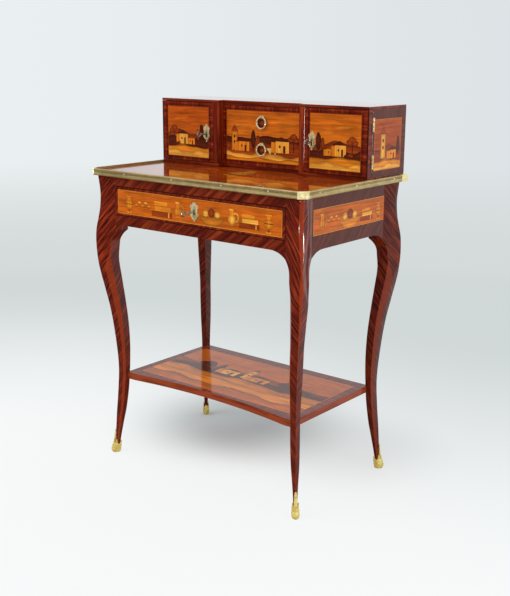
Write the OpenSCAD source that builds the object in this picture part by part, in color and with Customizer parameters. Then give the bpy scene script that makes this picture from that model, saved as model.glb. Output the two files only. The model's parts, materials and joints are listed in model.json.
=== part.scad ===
/* [Table] */
// Width of the table top over its metal rim
table_w = 656; // [630:1:690]
// Depth of the table top over its metal rim
table_d = 416; // [408:1:440]
// Height of the rim's upper edge above the floor
table_h = 750; // [740:1:770]
// Thickness of the top board
top_t = 11; // [10:0.5:14]
// Thickness of the metal rim, outwards from the board's edge
rim_t = 7; // [6.5:0.5:9]
// Height of the rim's lip above the board
rim_lip = 5; // [4:0.5:6]
// Cut across each front corner of the table top
corner_cut = 18; // [14:1:24]
// Length of the separate rim piece at each back corner
corner_run = 26; // [22:1:60]

/* [Frieze] */
// Height of the frieze, from the board down to the apron's straight edge
frieze_h = 121; // [117:1:127]
// Height of the rail above the writing drawer
top_rail_h = 24.4; // [20:0.2:28]
// Height of the rail below the writing drawer
bottom_rail_h = 24; // [20:1:28]
// Thickness of the two front rails
rail_t = 20; // [16:1:24]
// Thickness of the side and back frieze boards
board_t = 16; // [12:1:20]

/* [Legs] */
// Stand-out of the leg's outer corner at its top
flare_out = 13; // [9:0.2:14]
// Stand-out at the hollow below the top
waist_out = 10; // [7:0.2:11]
// Stand-out at the knee
knee_out = 20; // [16:0.2:22]
// Draw-in of the outer corner at the ankle
ankle_in = 15.7; // [13:0.1:18]
// Width of the canted strip down the leg's corner, along each face
cant = 7.5; // [5:0.5:9]

/* [Metal shoes] */
// Height of the shoe's plain cup
shoe_h = 27; // [22:1:32]
// Height of the leaf that climbs the leg's outer corner
leaf_h = 62; // [52:1:70]
// Wall of the shoe
shoe_t = 1.7; // [1.4:0.1:2.2]

/* [Lower shelf] */
// Height of the shelf's upper face
shelf_z = 222; // [205:1:240]
// Thickness of the shelf
shelf_t = 17; // [14:1:20]
// Depth of the hollow curve in the shelf's front edge
shelf_hollow = 21; // [12:1:30]

/* [Upper cabinet] */
// Distance from the cabinet's end to the table's side edge
cabinet_side_set = 10; // [10:1:20]
// Distance from the table's front edge back to the door faces
cabinet_set = 253; // [244:1:258]
// Height of the cabinet above the table top
cabinet_h = 166; // [160:1:180]
// Thickness of the cabinet's bottom board
base_t = 9; // [7.5:0.5:12]
// Thickness of the cabinet's top board
lid_t = 6; // [5:0.5:10]
// Thickness of the cabinet's ends
end_t = 14; // [13:1:16]
// Clear width between the partitions
middle_w = 250; // [240:1:260]
// How far the small drawers stand back from the doors
middle_set = 19.8; // [16:0.2:24]

/* [Doors] */
// Thickness of a door
door_t = 15.5; // [15.5:0.5:18]
// Joint between a closed door and what surrounds it
door_gap = 0.5; // [0.4:0.1:0.8]
// Length of a hinge
hinge_l = 31; // [26:1:36]
// Distance from a door's end to its hinge
hinge_in = 18; // [14:1:24]
// Radius of a hinge knuckle
knuckle_r = 2.5; // [2.4:0.1:2.8]

/* [Drawers] */
// Joint round a drawer front
drawer_gap = 0.6; // [0.4:0.1:1]
// Space behind the closed writing drawer
writing_space = 25; // [19:1:55]
// Height of the writing drawer's sides
writing_h = 62; // [54:1:64]
// Space behind a closed small drawer
small_space = 6; // [3:1:23]

/* [Locks and keys] */
// Radius of a key's shank
shank_r = 2.4; // [2.2:0.1:2.6]
// Reach of the writing drawer's key in front of the drawer
writing_key_out = 45; // [38:1:50]
// Reach of the left door's key in front of the door
left_key_out = 38; // [30:1:44]
// Reach of the right door's key in front of the door
right_key_out = 27; // [25:1:40]
// Outer radius of a key's bow
bow_r = 7.5; // [6.8:0.1:8]
// Distance from a door's free edge to its key
key_in = 22; // [20:1:26]

/* [Ring pulls] */
// Radius of a ring pull at the middle of its wire
ring_r = 13.8; // [12:0.2:16]
// Wire radius of a ring pull
ring_wire = 2.1; // [1.6:0.1:2.4]

/* [Hidden] */

$fn = 48;
past = 1;
far = 900;
seat = 0.3;
rosewood = "#6b3322";
kingwood = "#8a4a30";
honey = "#c58a3c";
oak = "#a9804f";
gilt = "#c9ab63";
steel = "#7c7a76";

// Heights
top_z = table_h - rim_lip;
board_z = top_z - top_t;
rim_h = rim_lip + top_t;
apron_z = board_z - frieze_h;
opening_z0 = apron_z + bottom_rail_h;
opening_z1 = board_z - top_rail_h;
cabinet_z0 = top_z + base_t;
cabinet_z1 = top_z + cabinet_h - lid_t;

// Plan; the writing drawer's key is the foremost thing and the table top's back edge the rearmost
side_overhang = 26;
front_overhang = 26;
back_overhang = 21;
key_over = writing_key_out - front_overhang;
half_w = table_w / 2;
front_y = (key_over - table_d) / 2;
back_y = front_y + table_d;
frieze_x = half_w - side_overhang;
frieze_y0 = front_y + front_overhang;
frieze_y1 = back_y - back_overhang;
post_w = 40;
post_x = frieze_x - post_w;
post_y0 = frieze_y0 + post_w;
post_y1 = frieze_y1 - post_w;

// Cabinet in plan
cabinet_back_set = 5;
cabinet_back_t = 8;
partition_t = 16;
door_y = front_y + cabinet_set;
carcass_y = door_y + door_t + door_gap;
middle_y = door_y + middle_set;
cabinet_y1 = back_y - cabinet_back_set;
inside_y1 = cabinet_y1 - cabinet_back_t;
cabinet_x = half_w - cabinet_side_set;
partition_x0 = middle_w / 2;
partition_x1 = partition_x0 + partition_t;
door_x0 = partition_x1 + door_gap;
door_x1 = cabinet_x - door_gap;
door_z0 = cabinet_z0 + door_gap;
door_z1 = cabinet_z1 - door_gap;

// Ear at each end of an apron: a quarter ellipse from the straight edge down into the leg
ear_l = 57;
ear_h = 52;
ear_in = 25;
ear_z = apron_z - ear_h;
function ear_u(z) = -ear_in - ear_l * (1 - sqrt(max(0, 1 - pow((z - ear_z) / ear_h, 2))));
ear_sin = 1 - (post_w - ear_in) / ear_l;
ear_top = ear_z + ear_h * sqrt(1 - ear_sin * ear_sin);

// A smooth run of values over height through the given [height, value] pairs
function step_at(run, z, i = 0) =
    (i >= len(run) - 2 || z < run[i + 1][0]) ? i : step_at(run, z, i + 1);
function run_slope(run, i) =
    let (a = max(i - 1, 0), b = min(i + 1, len(run) - 1))
    (run[b][1] - run[a][1]) / (run[b][0] - run[a][0]);
function run_value(run, z) =
    let (i = step_at(run, z), h = run[i + 1][0] - run[i][0], t = max(0, min(1, (z - run[i][0]) / h)))
    run[i][1] * (1 + 2 * t) * (1 - t) * (1 - t) + run[i + 1][1] * t * t * (3 - 2 * t)
    + h * run_slope(run, i) * t * (1 - t) * (1 - t) - h * run_slope(run, i + 1) * t * t * (1 - t);

// The cabriole line: stand-out of the leg's outer and inner corners from the frieze's corner
sole_z = 8;
knee_z = ear_z - 5;
waist_z = board_z - 44;
outer_run = [[0, -2.4], [30, -4.6], [60, -6.9], [0.196 * knee_z, -9.4], [0.308 * knee_z, -13.3],
    [0.432 * knee_z, -ankle_in], [0.586 * knee_z, -10.8], [0.709 * knee_z, -3.6], [0.8 * knee_z, 4.8],
    [0.917 * knee_z, 0.8 * knee_out], [knee_z, knee_out], [1.072 * knee_z, 0.97 * knee_out],
    [1.133 * knee_z, 14.6], [1.176 * knee_z, 11.4], [waist_z, waist_out], [board_z, flare_out]];
inner_run = [[0, -12.4], [40, -16.4], [0.156 * knee_z, -23], [0.23 * knee_z, -29], [0.342 * knee_z, -34.6],
    [0.504 * knee_z, -38], [0.629 * knee_z, -36.8], [0.741 * knee_z, -32.5], [0.854 * knee_z, -26.8],
    [0.941 * knee_z, -22.8], [ear_z, -ear_in]];
side_cut_run = [[0, 4], [0.342 * knee_z, 5], [0.527 * knee_z, 6], [0.642 * knee_z, 8],
    [0.757 * knee_z, 11], [0.987 * knee_z, 12], [1.06 * knee_z, 2], [ear_top, -6], [board_z, -6]];
cant_run = [[0, -5], [0.849 * knee_z, -5], [0.89 * knee_z, -0.5], [0.928 * knee_z, 3],
    [0.978 * knee_z, 0.85 * cant], [1.079 * knee_z, cant], [board_z, cant]];
function leg_outer(z) = run_value(outer_run, z);

// Above the knee each outer face leans back to lie flush with the frieze; its stand-out at the post's edge
face_lean = 18;
face_run = [[0, 14], [0.8 * knee_z, 10], [0.863 * knee_z, 7], [0.917 * knee_z, 5.2], [0.962 * knee_z, 3],
    [knee_z, 1.4], [1.034 * knee_z, 0.6], [1.06 * knee_z, 0.4], [board_z, 0.4]];
function face_reach(z) = run_value(face_run, z) * cos(face_lean) + post_w * sin(face_lean);
function leg_inner(z) = z >= ear_top ? -post_w : z >= ear_z ? ear_u(z) : run_value(inner_run, z);
function leg_level(z, out, in) =
    [z, leg_outer(z) + out, leg_inner(z) - in, run_value(side_cut_run, z) + 0.3 * (out + in),
     run_value(cant_run, z), face_reach(z) + out];
function between(a, b, n) = [for (j = [0 : n - 1]) a + (b - a) * j / n];
leg_levels = [for (z = concat(between(sole_z, ear_z, 22), between(ear_z, ear_top, 5),
    between(ear_top, board_z, 7), [board_z])) leg_level(z, 0, 0)];

// Vertical slab whose outline runs up one list of [reach, height] points and down another
module slab(turn, from, to) {
    reach = 80;
    rotate([90, 0, turn])
        linear_extrude(height = 2 * reach, center = true)
            polygon(concat(from, [for (j = [len(to) - 1 : -1 : 0]) to[j]]));
}

// Leg-shaped solid through levels of [height, outer, inner, side cut, cant, leaning face]
module leg_form(levels) {
    intersection() {
        slab(0, [for (l = levels) [l[1], l[0]]], [for (l = levels) [l[2], l[0]]]);
        slab(90, [for (l = levels) [l[1], l[0]]], [for (l = levels) [l[2], l[0]]]);
        slab(-45, [for (l = levels) [(l[1] - l[2] - l[3]) / sqrt(2), l[0]]],
            [for (l = levels) [-(l[1] - l[2] - l[3]) / sqrt(2), l[0]]]);
        slab(45, [for (l = levels) [sqrt(2) * l[1] - l[4] / sqrt(2), l[0]]],
            [for (l = levels) [-3 * post_w, l[0]]]);
        slab(-face_lean, [for (l = levels) [l[5], l[0]]], [for (l = levels) [-3 * post_w, l[0]]]);
        slab(90 + face_lean, [for (l = levels) [l[5], l[0]]], [for (l = levels) [-3 * post_w, l[0]]]);
    }
}

// Frame of one leg: origin under the frieze's corner, both axes pointing outwards
module at_corner(sx, sy) {
    translate([sx * frieze_x, sy < 0 ? frieze_y0 : frieze_y1, 0])
        mirror([sx < 0 ? 1 : 0, 0, 0])
            mirror([0, sy < 0 ? 1 : 0, 0])
                children();
}

// The shelf's corner reaches this far inside the frieze's side and end
shelf_in_x = 33;
shelf_in_y = 28;
module leg(sx, sy) {
    color(kingwood)
        at_corner(sx, sy)
            difference() {
                leg_form(leg_levels);
                translate([-shelf_in_x - far, -shelf_in_y - far, shelf_z - shelf_t])
                    cube([far, far, shelf_t]);
            }
}

// Metal shoe: a cup with a toe, one tall leaf on the outer corner and two low side leaves
shoe_gap = 0.3;
toe_run = [[0, 1.4], [8, 4.6], [18, 3], [30, 1], [45, 0], [80, 0]];
heel_run = [[0, -0.4], [8, 0.6], [18, 0.4], [30, 0], [80, 0]];
shoe_levels = [for (z = [0, 3, 8, 13, 18, 24, 30, 38, 47, 58, 80])
    leg_level(z, shoe_gap + shoe_t + run_value(toe_run, z), shoe_gap + shoe_t + run_value(heel_run, z))];
socket_levels = [for (z = [sole_z, 20, 32, 46, 60, 90]) leg_level(z, shoe_gap, shoe_gap)];
leaf_half = 6.5;
side_leaf_h = 38;
module shoe_front() {
    leaf_steps = 5;
    rise = leaf_h - shoe_h;
    polygon(concat(
        [[-far, -past], [far, -past], [far, side_leaf_h], [17, side_leaf_h], [leaf_half + 2.5, shoe_h + 1]],
        [for (j = [0 : leaf_steps]) [leaf_half * cos(90 * j / leaf_steps), shoe_h + 3
            + (rise - 3) * sin(90 * j / leaf_steps)]],
        [for (j = [leaf_steps - 1 : -1 : 0]) [-leaf_half * cos(90 * j / leaf_steps), shoe_h + 3
            + (rise - 3) * sin(90 * j / leaf_steps)]],
        [[-leaf_half - 2.5, shoe_h + 1], [-17, side_leaf_h], [-far, side_leaf_h]]));
}
module sabot(sx, sy) {
    middle = -14;
    color(gilt)
        at_corner(sx, sy)
            intersection() {
                difference() {
                    leg_form(shoe_levels);
                    leg_form(socket_levels);
                }
                union() {
                    translate([-far / 2, -far / 2, -past])
                        cube([far, far, past + shoe_h - 3]);
                    rotate([90, 0, -45])
                        translate([0, 0, -far])
                            linear_extrude(height = far - middle * sqrt(2))
                                shoe_front();
                }
            }
}

// Outline of an apron board between two posts at a and b, lower edge with its two ears
ear_steps = 7;
function ear_points(end, way) =
    [for (j = [0 : ear_steps]) let (t = asin(ear_sin) * (1 - j / ear_steps))
        [end - way * ear_l * (ear_sin - sin(t)), ear_z + ear_h * cos(t)]];
module apron(a, b, upper) {
    polygon(concat([[a, upper], [b, upper]], ear_points(b, 1),
        [for (j = [ear_steps : -1 : 0]) ear_points(a, -1)[j]]));
}

module frieze_top_rail() {
    color(rosewood)
        difference() {
            translate([-post_x, frieze_y0, opening_z1])
                cube([2 * post_x, rail_t, top_rail_h]);
            writing_lock_place()
                bolt_space(writing_reach, writing_reach, bolt_throw + 2, 0.5);
        }
}
module frieze_bottom_rail() {
    color(rosewood)
        translate([0, frieze_y0 + rail_t, 0])
            rotate([90, 0, 0])
                linear_extrude(height = rail_t)
                    apron(-post_x, post_x, opening_z0);
}
module frieze_side(sx) {
    color(rosewood)
        translate([sx > 0 ? frieze_x - board_t : -frieze_x, 0, 0])
            rotate([90, 0, 90])
                linear_extrude(height = board_t)
                    apron(post_y0, post_y1, board_z);
}
module frieze_back() {
    color(rosewood)
        translate([-post_x, frieze_y1 - board_t, apron_z])
            cube([2 * post_x, board_t, frieze_h]);
}

// Writing drawer, and the wood that carries and guides it
front_t = 18;
side_t = 9;
bottom_t = 6;
groove = 3;
writing_z0 = opening_z0 + drawer_gap;
writing_z1 = opening_z1 - drawer_gap;
writing_x = post_x - drawer_gap;
writing_side_x = writing_x - 0.6;
writing_y1 = frieze_y1 - board_t - writing_space;
writing_d = writing_y1 - frieze_y0 - front_t;
writing_bottom_z = writing_z0 + 5;
module drawer_runners() {
    runner_in = 22;
    runner_h = 20;
    kicker_z = writing_z0 + writing_h + 0.5;
    run_y0 = frieze_y0 + rail_t;
    run_y1 = frieze_y1 - board_t;
    color(oak)
        for (sx = [-1, 1])
            mirror([sx < 0 ? 1 : 0, 0, 0]) {
                translate([post_x - runner_in, run_y0, writing_z0 - seat - runner_h])
                    cube([runner_in, run_y1 - run_y0, runner_h]);
                translate([post_x - past, post_y0, writing_z0 - seat - runner_h])
                    cube([past + post_w - board_t, post_y1 - post_y0, runner_h]);
                translate([post_x - runner_in, run_y0, kicker_z])
                    cube([runner_in, run_y1 - run_y0, board_z - kicker_z]);
            }
}
module writing_drawer_front() {
    color(honey)
        difference() {
            translate([-writing_x, frieze_y0, writing_z0])
                cube([2 * writing_x, front_t, writing_z1 - writing_z0]);
            translate([-writing_side_x + side_t - groove, frieze_y0 + front_t - groove, writing_bottom_z])
                cube([2 * (writing_side_x - side_t + groove), groove + past, bottom_t]);
            writing_lock_place()
                lock_pocket(writing_reach, front_t, 90);
        }
}
module writing_drawer_sides() {
    color(oak)
        for (sx = [-1, 1])
            mirror([sx < 0 ? 1 : 0, 0, 0])
                difference() {
                    translate([writing_side_x - side_t, frieze_y0 + front_t, writing_z0])
                        cube([side_t, writing_d, writing_h]);
                    translate([writing_side_x - side_t - past, frieze_y0, writing_bottom_z])
                        cube([past + groove, far, bottom_t]);
                }
}
module writing_drawer_back() {
    color(oak)
        translate([-writing_side_x + side_t, writing_y1 - side_t, writing_bottom_z + bottom_t])
            cube([2 * (writing_side_x - side_t), side_t, writing_h - bottom_t - 5]);
}
module writing_drawer_bottom() {
    x = writing_side_x - side_t + groove;
    color(oak)
        translate([-x, frieze_y0 + front_t - groove, writing_bottom_z])
            cube([2 * x, writing_d + groove, bottom_t]);
}

// Table top with its moulded rim
mitre = tan(22.5);
module board_plan(in) {
    x = half_w - in;
    y = front_y + in;
    c = corner_cut - in * (1 - mitre);
    polygon([[-x + c, y], [x - c, y], [x, y + c], [x, back_y], [-x, back_y], [-x, y + c]]);
}
module table_top() {
    color(honey)
        difference() {
            translate([0, 0, board_z])
                linear_extrude(height = top_t)
                    board_plan(rim_t);
            rim_nail_places()
                nail_hole(nail_seat + nail_in + seat);
        }
}
module rim_profile() {
    top_bead = 2.6;
    low_bead = 2;
    difference() {
        union() {
            square([rim_t - top_bead, rim_h]);
            translate([0, low_bead])
                square([rim_t - 1, rim_h - low_bead - top_bead]);
            translate([rim_t - low_bead, low_bead])
                circle(low_bead);
            translate([rim_t - top_bead, rim_h - top_bead])
                circle(top_bead);
        }
        translate([rim_t + 2.6, rim_h / 2 - 0.4])
            circle(4.6);
    }
}
module rim_bar(turn, at) {
    translate([at[0], at[1], board_z])
        rotate([90, 0, turn])
            linear_extrude(height = 2 * far, center = true)
                rim_profile();
}
module rim_front() {
    x = half_w - corner_cut;
    color(gilt)
        difference() {
            intersection() {
                rim_bar(-90, [0, front_y + rim_t]);
                translate([0, 0, board_z - past])
                    linear_extrude(height = rim_h + 2 * past)
                        polygon([[-x - past * mitre, front_y - past], [x + past * mitre, front_y - past],
                            [x - rim_t * mitre, front_y + rim_t], [-x + rim_t * mitre, front_y + rim_t]]);
            }
            rim_nail_places()
                nail_hole(rim_t + past);
        }
}
module rim_side(sx) {
    y = front_y + corner_cut;
    color(gilt)
        difference() {
            mirror([sx < 0 ? 1 : 0, 0, 0])
                intersection() {
                    rim_bar(0, [half_w - rim_t, 0]);
                    translate([0, 0, board_z - past])
                        linear_extrude(height = rim_h + 2 * past)
                            polygon([[half_w + past, y - past * mitre],
                                [half_w + past, back_y - corner_run],
                                [half_w - rim_t, back_y - corner_run],
                                [half_w - rim_t, y + rim_t * mitre]]);
                }
            rim_side_nail_places(sx)
                nail_hole(rim_t + past);
        }
}
module rim_corner_pieces() {
    cut_mid = [half_w - corner_cut / 2, front_y + corner_cut / 2];
    color(gilt)
        for (sx = [-1, 1])
            mirror([sx < 0 ? 1 : 0, 0, 0]) {
                intersection() {
                    translate([cut_mid[0] - rim_t / sqrt(2), cut_mid[1] + rim_t / sqrt(2), board_z])
                        rotate([90, 0, -45])
                            linear_extrude(height = 4 * corner_cut, center = true)
                                square([rim_t, rim_h]);
                    translate([0, 0, board_z - past])
                        linear_extrude(height = rim_h + 2 * past)
                            polygon([[half_w - corner_cut + past * mitre, front_y - past],
                                [half_w + past, front_y - past],
                                [half_w + past, front_y + corner_cut - past * mitre],
                                [half_w - rim_t, front_y + corner_cut + rim_t * mitre],
                                [half_w - corner_cut - rim_t * mitre, front_y + rim_t]]);
                }
                translate([half_w - rim_t, back_y - corner_run, board_z])
                    cube([rim_t, corner_run, rim_h]);
            }
}

// Round-headed nails through the front and side rims, each seated in a shallow counterbore
nail_r = 2.1;
nail_shank = 0.9;
nail_seat = 2.3;
nail_in = 9;
nail_z = board_z + 10;
nail_x = [-0.311, -0.075, 0.154, 0.354];
nail_y = [-0.336 * table_d, 0, back_y - corner_run - 34];
module rim_nail_places() {
    for (x = nail_x)
        translate([x * table_w, front_y, nail_z])
            children();
    for (sx = [-1, 1])
        rim_side_nail_places(sx)
            children();
}
module rim_side_nail_places(sx) {
    for (y = nail_y)
        translate([sx * half_w, y, nail_z])
            rotate([0, 0, 90 * sx])
                children();
}
module nail_hole(depth) {
    round_y(nail_shank + seat, -past, depth);
    round_y(nail_r + seat, -past, nail_seat);
}
module rim_nails() {
    dome = 2.6;
    dome_drop = 1.2;
    color(gilt)
        rim_nail_places()
            translate([0, nail_seat + nail_in, 0])
                rotate([90, 0, 0])
                    rotate_extrude() {
                        square([nail_shank, nail_in]);
                        translate([0, nail_in])
                            intersection() {
                                square([nail_r, dome]);
                                translate([0, -dome_drop])
                                    circle(dome);
                            }
                    }
}

module lower_shelf() {
    x = frieze_x - shelf_in_x;
    y0 = frieze_y0 + shelf_in_y;
    y1 = frieze_y1 - shelf_in_y;
    straight = 28;
    chord = x - straight;
    r = (chord * chord + shelf_hollow * shelf_hollow) / (2 * shelf_hollow);
    color(honey)
        translate([0, 0, shelf_z - shelf_t])
            linear_extrude(height = shelf_t)
                difference() {
                    translate([-x, y0])
                        square([2 * x, y1 - y0]);
                    translate([0, y0 + shelf_hollow - r])
                        circle(r, $fn = 400);
                }
}

// Cabinet carcass
module cabinet_plan() {
    difference() {
        translate([-cabinet_x, door_y])
            square([2 * cabinet_x, cabinet_y1 - door_y]);
        translate([-partition_x0, door_y - past])
            square([middle_w, middle_set + past]);
    }
}
module cabinet_base() {
    color(rosewood)
        translate([0, 0, top_z])
            linear_extrude(height = base_t)
                cabinet_plan();
}
module cabinet_top() {
    color(rosewood)
        translate([0, 0, cabinet_z1])
            linear_extrude(height = lid_t)
                cabinet_plan();
}
module cabinet_end(sx) {
    color(honey)
        mirror([sx < 0 ? 1 : 0, 0, 0])
            difference() {
                translate([cabinet_x - end_t, carcass_y, cabinet_z0])
                    cube([end_t, cabinet_y1 - carcass_y, cabinet_z1 - cabinet_z0]);
                for (z = hinge_zs)
                    hinge_recess(z, carcass_y);
            }
}
module partition(sx) {
    color(rosewood)
        difference() {
            mirror([sx < 0 ? 1 : 0, 0, 0])
                translate([partition_x0, door_y, cabinet_z0])
                    cube([partition_t, inside_y1 - door_y, cabinet_z1 - cabinet_z0]);
            door_lock_place(sx)
                bolt_space(key_in, key_in, bolt_throw + 2, 0.5);
        }
}
module cabinet_back() {
    color(oak)
        translate([-cabinet_x + end_t, inside_y1, cabinet_z0])
            cube([2 * (cabinet_x - end_t), cabinet_back_t, cabinet_z1 - cabinet_z0]);
}

// Hinges: leaves let into the door's back and the end's front edge, three knuckles on one pin
leaf_w = 11;
leaf_t = 1.2;
pin_r = 1.2;
pin_gap = 0.06;
hinge_x = cabinet_x + 1.6;
hinge_y = carcass_y - door_gap / 2;
hinge_zs = [door_z0 + hinge_in, door_z1 - hinge_in - hinge_l];
knuckle_l = (hinge_l - 2 * seat) / 3;
module hinge_recess(z, y) {
    translate([hinge_x, hinge_y, z - seat])
        cylinder(r = knuckle_r + seat, h = hinge_l + 2 * seat);
    translate([hinge_x - leaf_w, min(y, y + (y > hinge_y ? 0 : -leaf_t)), z])
        cube([leaf_w + far, leaf_t, hinge_l]);
}
module hinge_leaf(z, y, own, other) {
    difference() {
        union() {
            translate([hinge_x - leaf_w, y, z])
                cube([leaf_w, leaf_t, hinge_l]);
            for (k = own)
                translate([hinge_x, hinge_y, z + k * (knuckle_l + seat)])
                    cylinder(r = knuckle_r, h = knuckle_l);
        }
        for (k = other)
            translate([hinge_x, hinge_y, z + k * (knuckle_l + seat) - seat])
                cylinder(r = knuckle_r + seat, h = knuckle_l + 2 * seat);
    }
}
module cabinet_hinge_leaves() {
    color(gilt)
        for (sx = [-1, 1], z = hinge_zs)
            mirror([sx < 0 ? 1 : 0, 0, 0]) {
                hinge_leaf(z, carcass_y, [0, 2], [1]);
                translate([hinge_x, hinge_y, z])
                    cylinder(r = pin_r, h = hinge_l);
            }
}
module door_hinge_leaves(sx) {
    color(gilt)
        for (z = hinge_zs)
            mirror([sx < 0 ? 1 : 0, 0, 0])
                difference() {
                    hinge_leaf(z, carcass_y - door_gap - leaf_t, [1], [0, 2]);
                    translate([hinge_x, hinge_y, z])
                        cylinder(r = pin_r + pin_gap, h = hinge_l);
                }
}

// Locks: key axis at the origin, y = 0 on the face, bolt shooting towards +x over the bit's sweep
lock_front = 5;
lock_t = 10;
lock_low = 10;
lock_high = 17;
lock_tail = 10;
lock_edge = 6;
turn_gap = 0.06;
bit_l = 7;
bit_y0 = 8;
bit_y1 = 11.5;
sweep_r = bit_l + 0.6;
bolt_throw = 5;
bolt_z0 = 9;
bolt_h = 5;
bolt_y0 = 8;
bolt_th = 3.5;
key_z = (door_z0 + door_z1) / 2 - 3;
writing_key_z = (writing_z0 + writing_z1) / 2 - 1;
writing_reach = writing_z1 - writing_key_z;
module door_lock_place(sx) {
    translate([sx * (door_x0 + key_in), door_y, key_z])
        mirror([sx > 0 ? 1 : 0, 0, 0])
            children();
}
module writing_lock_place() {
    translate([0, frieze_y0, writing_key_z])
        rotate([0, -90, 0])
            children();
}
module round_y(r, y0, y1) {
    translate([0, y0, 0])
        rotate([-90, 0, 0])
            cylinder(r = r, h = y1 - y0);
}
module key_slot(y0, y1, turn = 0) {
    rotate([0, turn, 0])
        translate([-1.5, y0, -bit_l - 0.5])
            cube([3, y1 - y0, bit_l + 0.5]);
}
// Room for the bolt from a point x0 to a length beyond the free edge
module bolt_space(reach, x0, beyond, gap) {
    translate([x0 - gap, bolt_y0 - gap, bolt_z0 - gap])
        cube([reach + beyond - x0 + gap, bolt_th + 2 * gap, bolt_h + 2 * gap]);
}
module lock_pocket(reach, depth, turn = 0) {
    translate([-lock_tail, lock_front, -lock_low])
        cube([lock_tail + reach - lock_edge, depth - lock_front + past, lock_low + lock_high]);
    bolt_space(reach, reach - lock_edge - past, past, 0.4);
    round_y(shank_r + 0.4, -past, lock_front + past);
    key_slot(-past, lock_front + past, turn);
}
module lock_case(reach, turn = 0) {
    color(steel)
        difference() {
            translate([-lock_tail, lock_front, -lock_low])
                cube([lock_tail + reach - lock_edge, lock_t, lock_low + lock_high]);
            round_y(sweep_r, bit_y0 - 0.5, bit_y1 + 0.5);
            round_y(shank_r + turn_gap, 0, far);
            key_slot(0, bit_y0, turn);
            bolt_space(reach, -lock_tail + 2, past, 0.3);
        }
}
module lock_bolt(reach) {
    tail = 3;
    color(gilt)
        translate([-tail, bolt_y0, bolt_z0])
            cube([reach + tail - 0.4, bolt_th, bolt_h]);
}
bow_wire = 1.5;
module key_form(out) {
    color(gilt) {
        round_y(shank_r, -(out - 2 * bow_r + bow_wire), lock_front + lock_t);
        round_y(shank_r + 0.9, -(out - 2 * bow_r + 2.2), -(out - 2 * bow_r - 0.6));
        translate([-1.1, bit_y0, -bit_l])
            cube([2.2, bit_y1 - bit_y0, bit_l]);
        translate([0, -(out - bow_r), 0])
            rotate([0, 90, 0])
                rotate_extrude()
                    translate([bow_r - bow_wire, 0])
                        circle(bow_wire, $fn = 24);
    }
}

// Escutcheon: a shaped plate with lobes, a crown and a drop, round one keyhole
plate_t = 1.6;
module plate_outline(w, h) {
    lobe = 0.46 * w;
    square([1.5 * w, 1.1 * h], center = true);
    translate([0, -0.45 * h])
        circle(0.75 * w);
    for (s = [-1, 1]) {
        translate([s * (w - lobe), 0.5 * h])
            circle(lobe);
        translate([s * (w - 0.8 * lobe), -0.35 * h])
            circle(0.8 * lobe);
    }
    translate([0, 0.72 * h])
        circle(0.45 * w);
    translate([0, h - 0.17 * w])
        circle(0.17 * w);
    translate([0, 0.9 * h])
        square([0.2 * w, 0.2 * h], center = true);
    translate([0, 0.13 * w - h])
        circle(0.17 * w);
    translate([0, -0.88 * h])
        square([0.24 * w, 0.2 * h], center = true);
}
module escutcheon(w, h, rise) {
    color(gilt)
        difference() {
            translate([0, 0, rise])
                rotate([90, 0, 0])
                    linear_extrude(height = plate_t)
                        plate_outline(w, h);
            round_y(shank_r + 0.3, -2 * plate_t, past);
            key_slot(-2 * plate_t, past);
        }
}
plate_w = 10;
plate_h = 21.8;
plate_rise = 2.5;

// Doors
module door(sx) {
    color(honey)
        difference() {
            mirror([sx < 0 ? 1 : 0, 0, 0])
                difference() {
                    translate([door_x0, door_y, door_z0])
                        cube([door_x1 - door_x0, door_t, door_z1 - door_z0]);
                    for (z = hinge_zs)
                        hinge_recess(z, carcass_y - door_gap);
                }
            door_lock_place(sx)
                lock_pocket(key_in, door_t);
        }
}
module door_escutcheon(sx) {
    door_lock_place(sx)
        escutcheon(plate_w, plate_h, plate_rise);
}
module door_lock(sx) {
    door_lock_place(sx)
        lock_case(key_in);
}
module door_bolt(sx) {
    door_lock_place(sx)
        lock_bolt(key_in);
}
module door_key(sx, out) {
    door_lock_place(sx)
        key_form(out);
}
module writing_drawer_escutcheon() {
    translate([0, frieze_y0, writing_key_z])
        escutcheon(1.2 * plate_w, plate_h + 0.7, 0.6);
}
module writing_drawer_lock() {
    writing_lock_place()
        lock_case(writing_reach, 90);
}
module writing_drawer_bolt() {
    writing_lock_place()
        lock_bolt(writing_reach);
}
module writing_drawer_key() {
    translate([0, frieze_y0, writing_key_z])
        key_form(writing_key_out);
}

// Small drawers between the partitions, with the shelf between them and the rail above
small_front_t = 12;
small_t = 6;
divider_t = 6;
middle_rail_h = 5.4;
split_z = cabinet_z0 + 0.48 * (cabinet_z1 - cabinet_z0);
small_back_y = middle_y + small_front_t;
small_d = inside_y1 - small_space - small_back_y;
small_x = partition_x0 - drawer_gap;
small_side_x = small_x - 0.5;
rail_z = cabinet_z1 - middle_rail_h;
module drawer_divider() {
    y = small_back_y + 0.5;
    color(oak)
        translate([-partition_x0, y, split_z - divider_t / 2])
            cube([middle_w, inside_y1 - y, divider_t]);
}
module middle_rail() {
    color(rosewood)
        translate([-partition_x0, middle_y, rail_z])
            cube([middle_w, small_front_t, middle_rail_h]);
}
module small_front(z0, z1, pull_z) {
    color(honey)
        difference() {
            translate([-small_x, middle_y, z0])
                cube([2 * small_x, small_front_t, z1 - z0]);
            translate([0, middle_y, pull_z])
                round_y(stud_r + seat, -past, small_front_t + past);
        }
}
module small_box(z0, z1) {
    color(oak)
        difference() {
            translate([-small_side_x, small_back_y, z0])
                cube([2 * small_side_x, small_d, z1 - z0]);
            translate([-small_side_x + small_t, small_back_y + small_t, z0 + small_t])
                cube([2 * (small_side_x - small_t), small_d - 2 * small_t, far]);
        }
}
upper_z0 = split_z + drawer_gap / 2;
upper_z1 = rail_z - drawer_gap;
lower_z0 = cabinet_z0 + drawer_gap;
lower_z1 = split_z - drawer_gap / 2;

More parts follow.
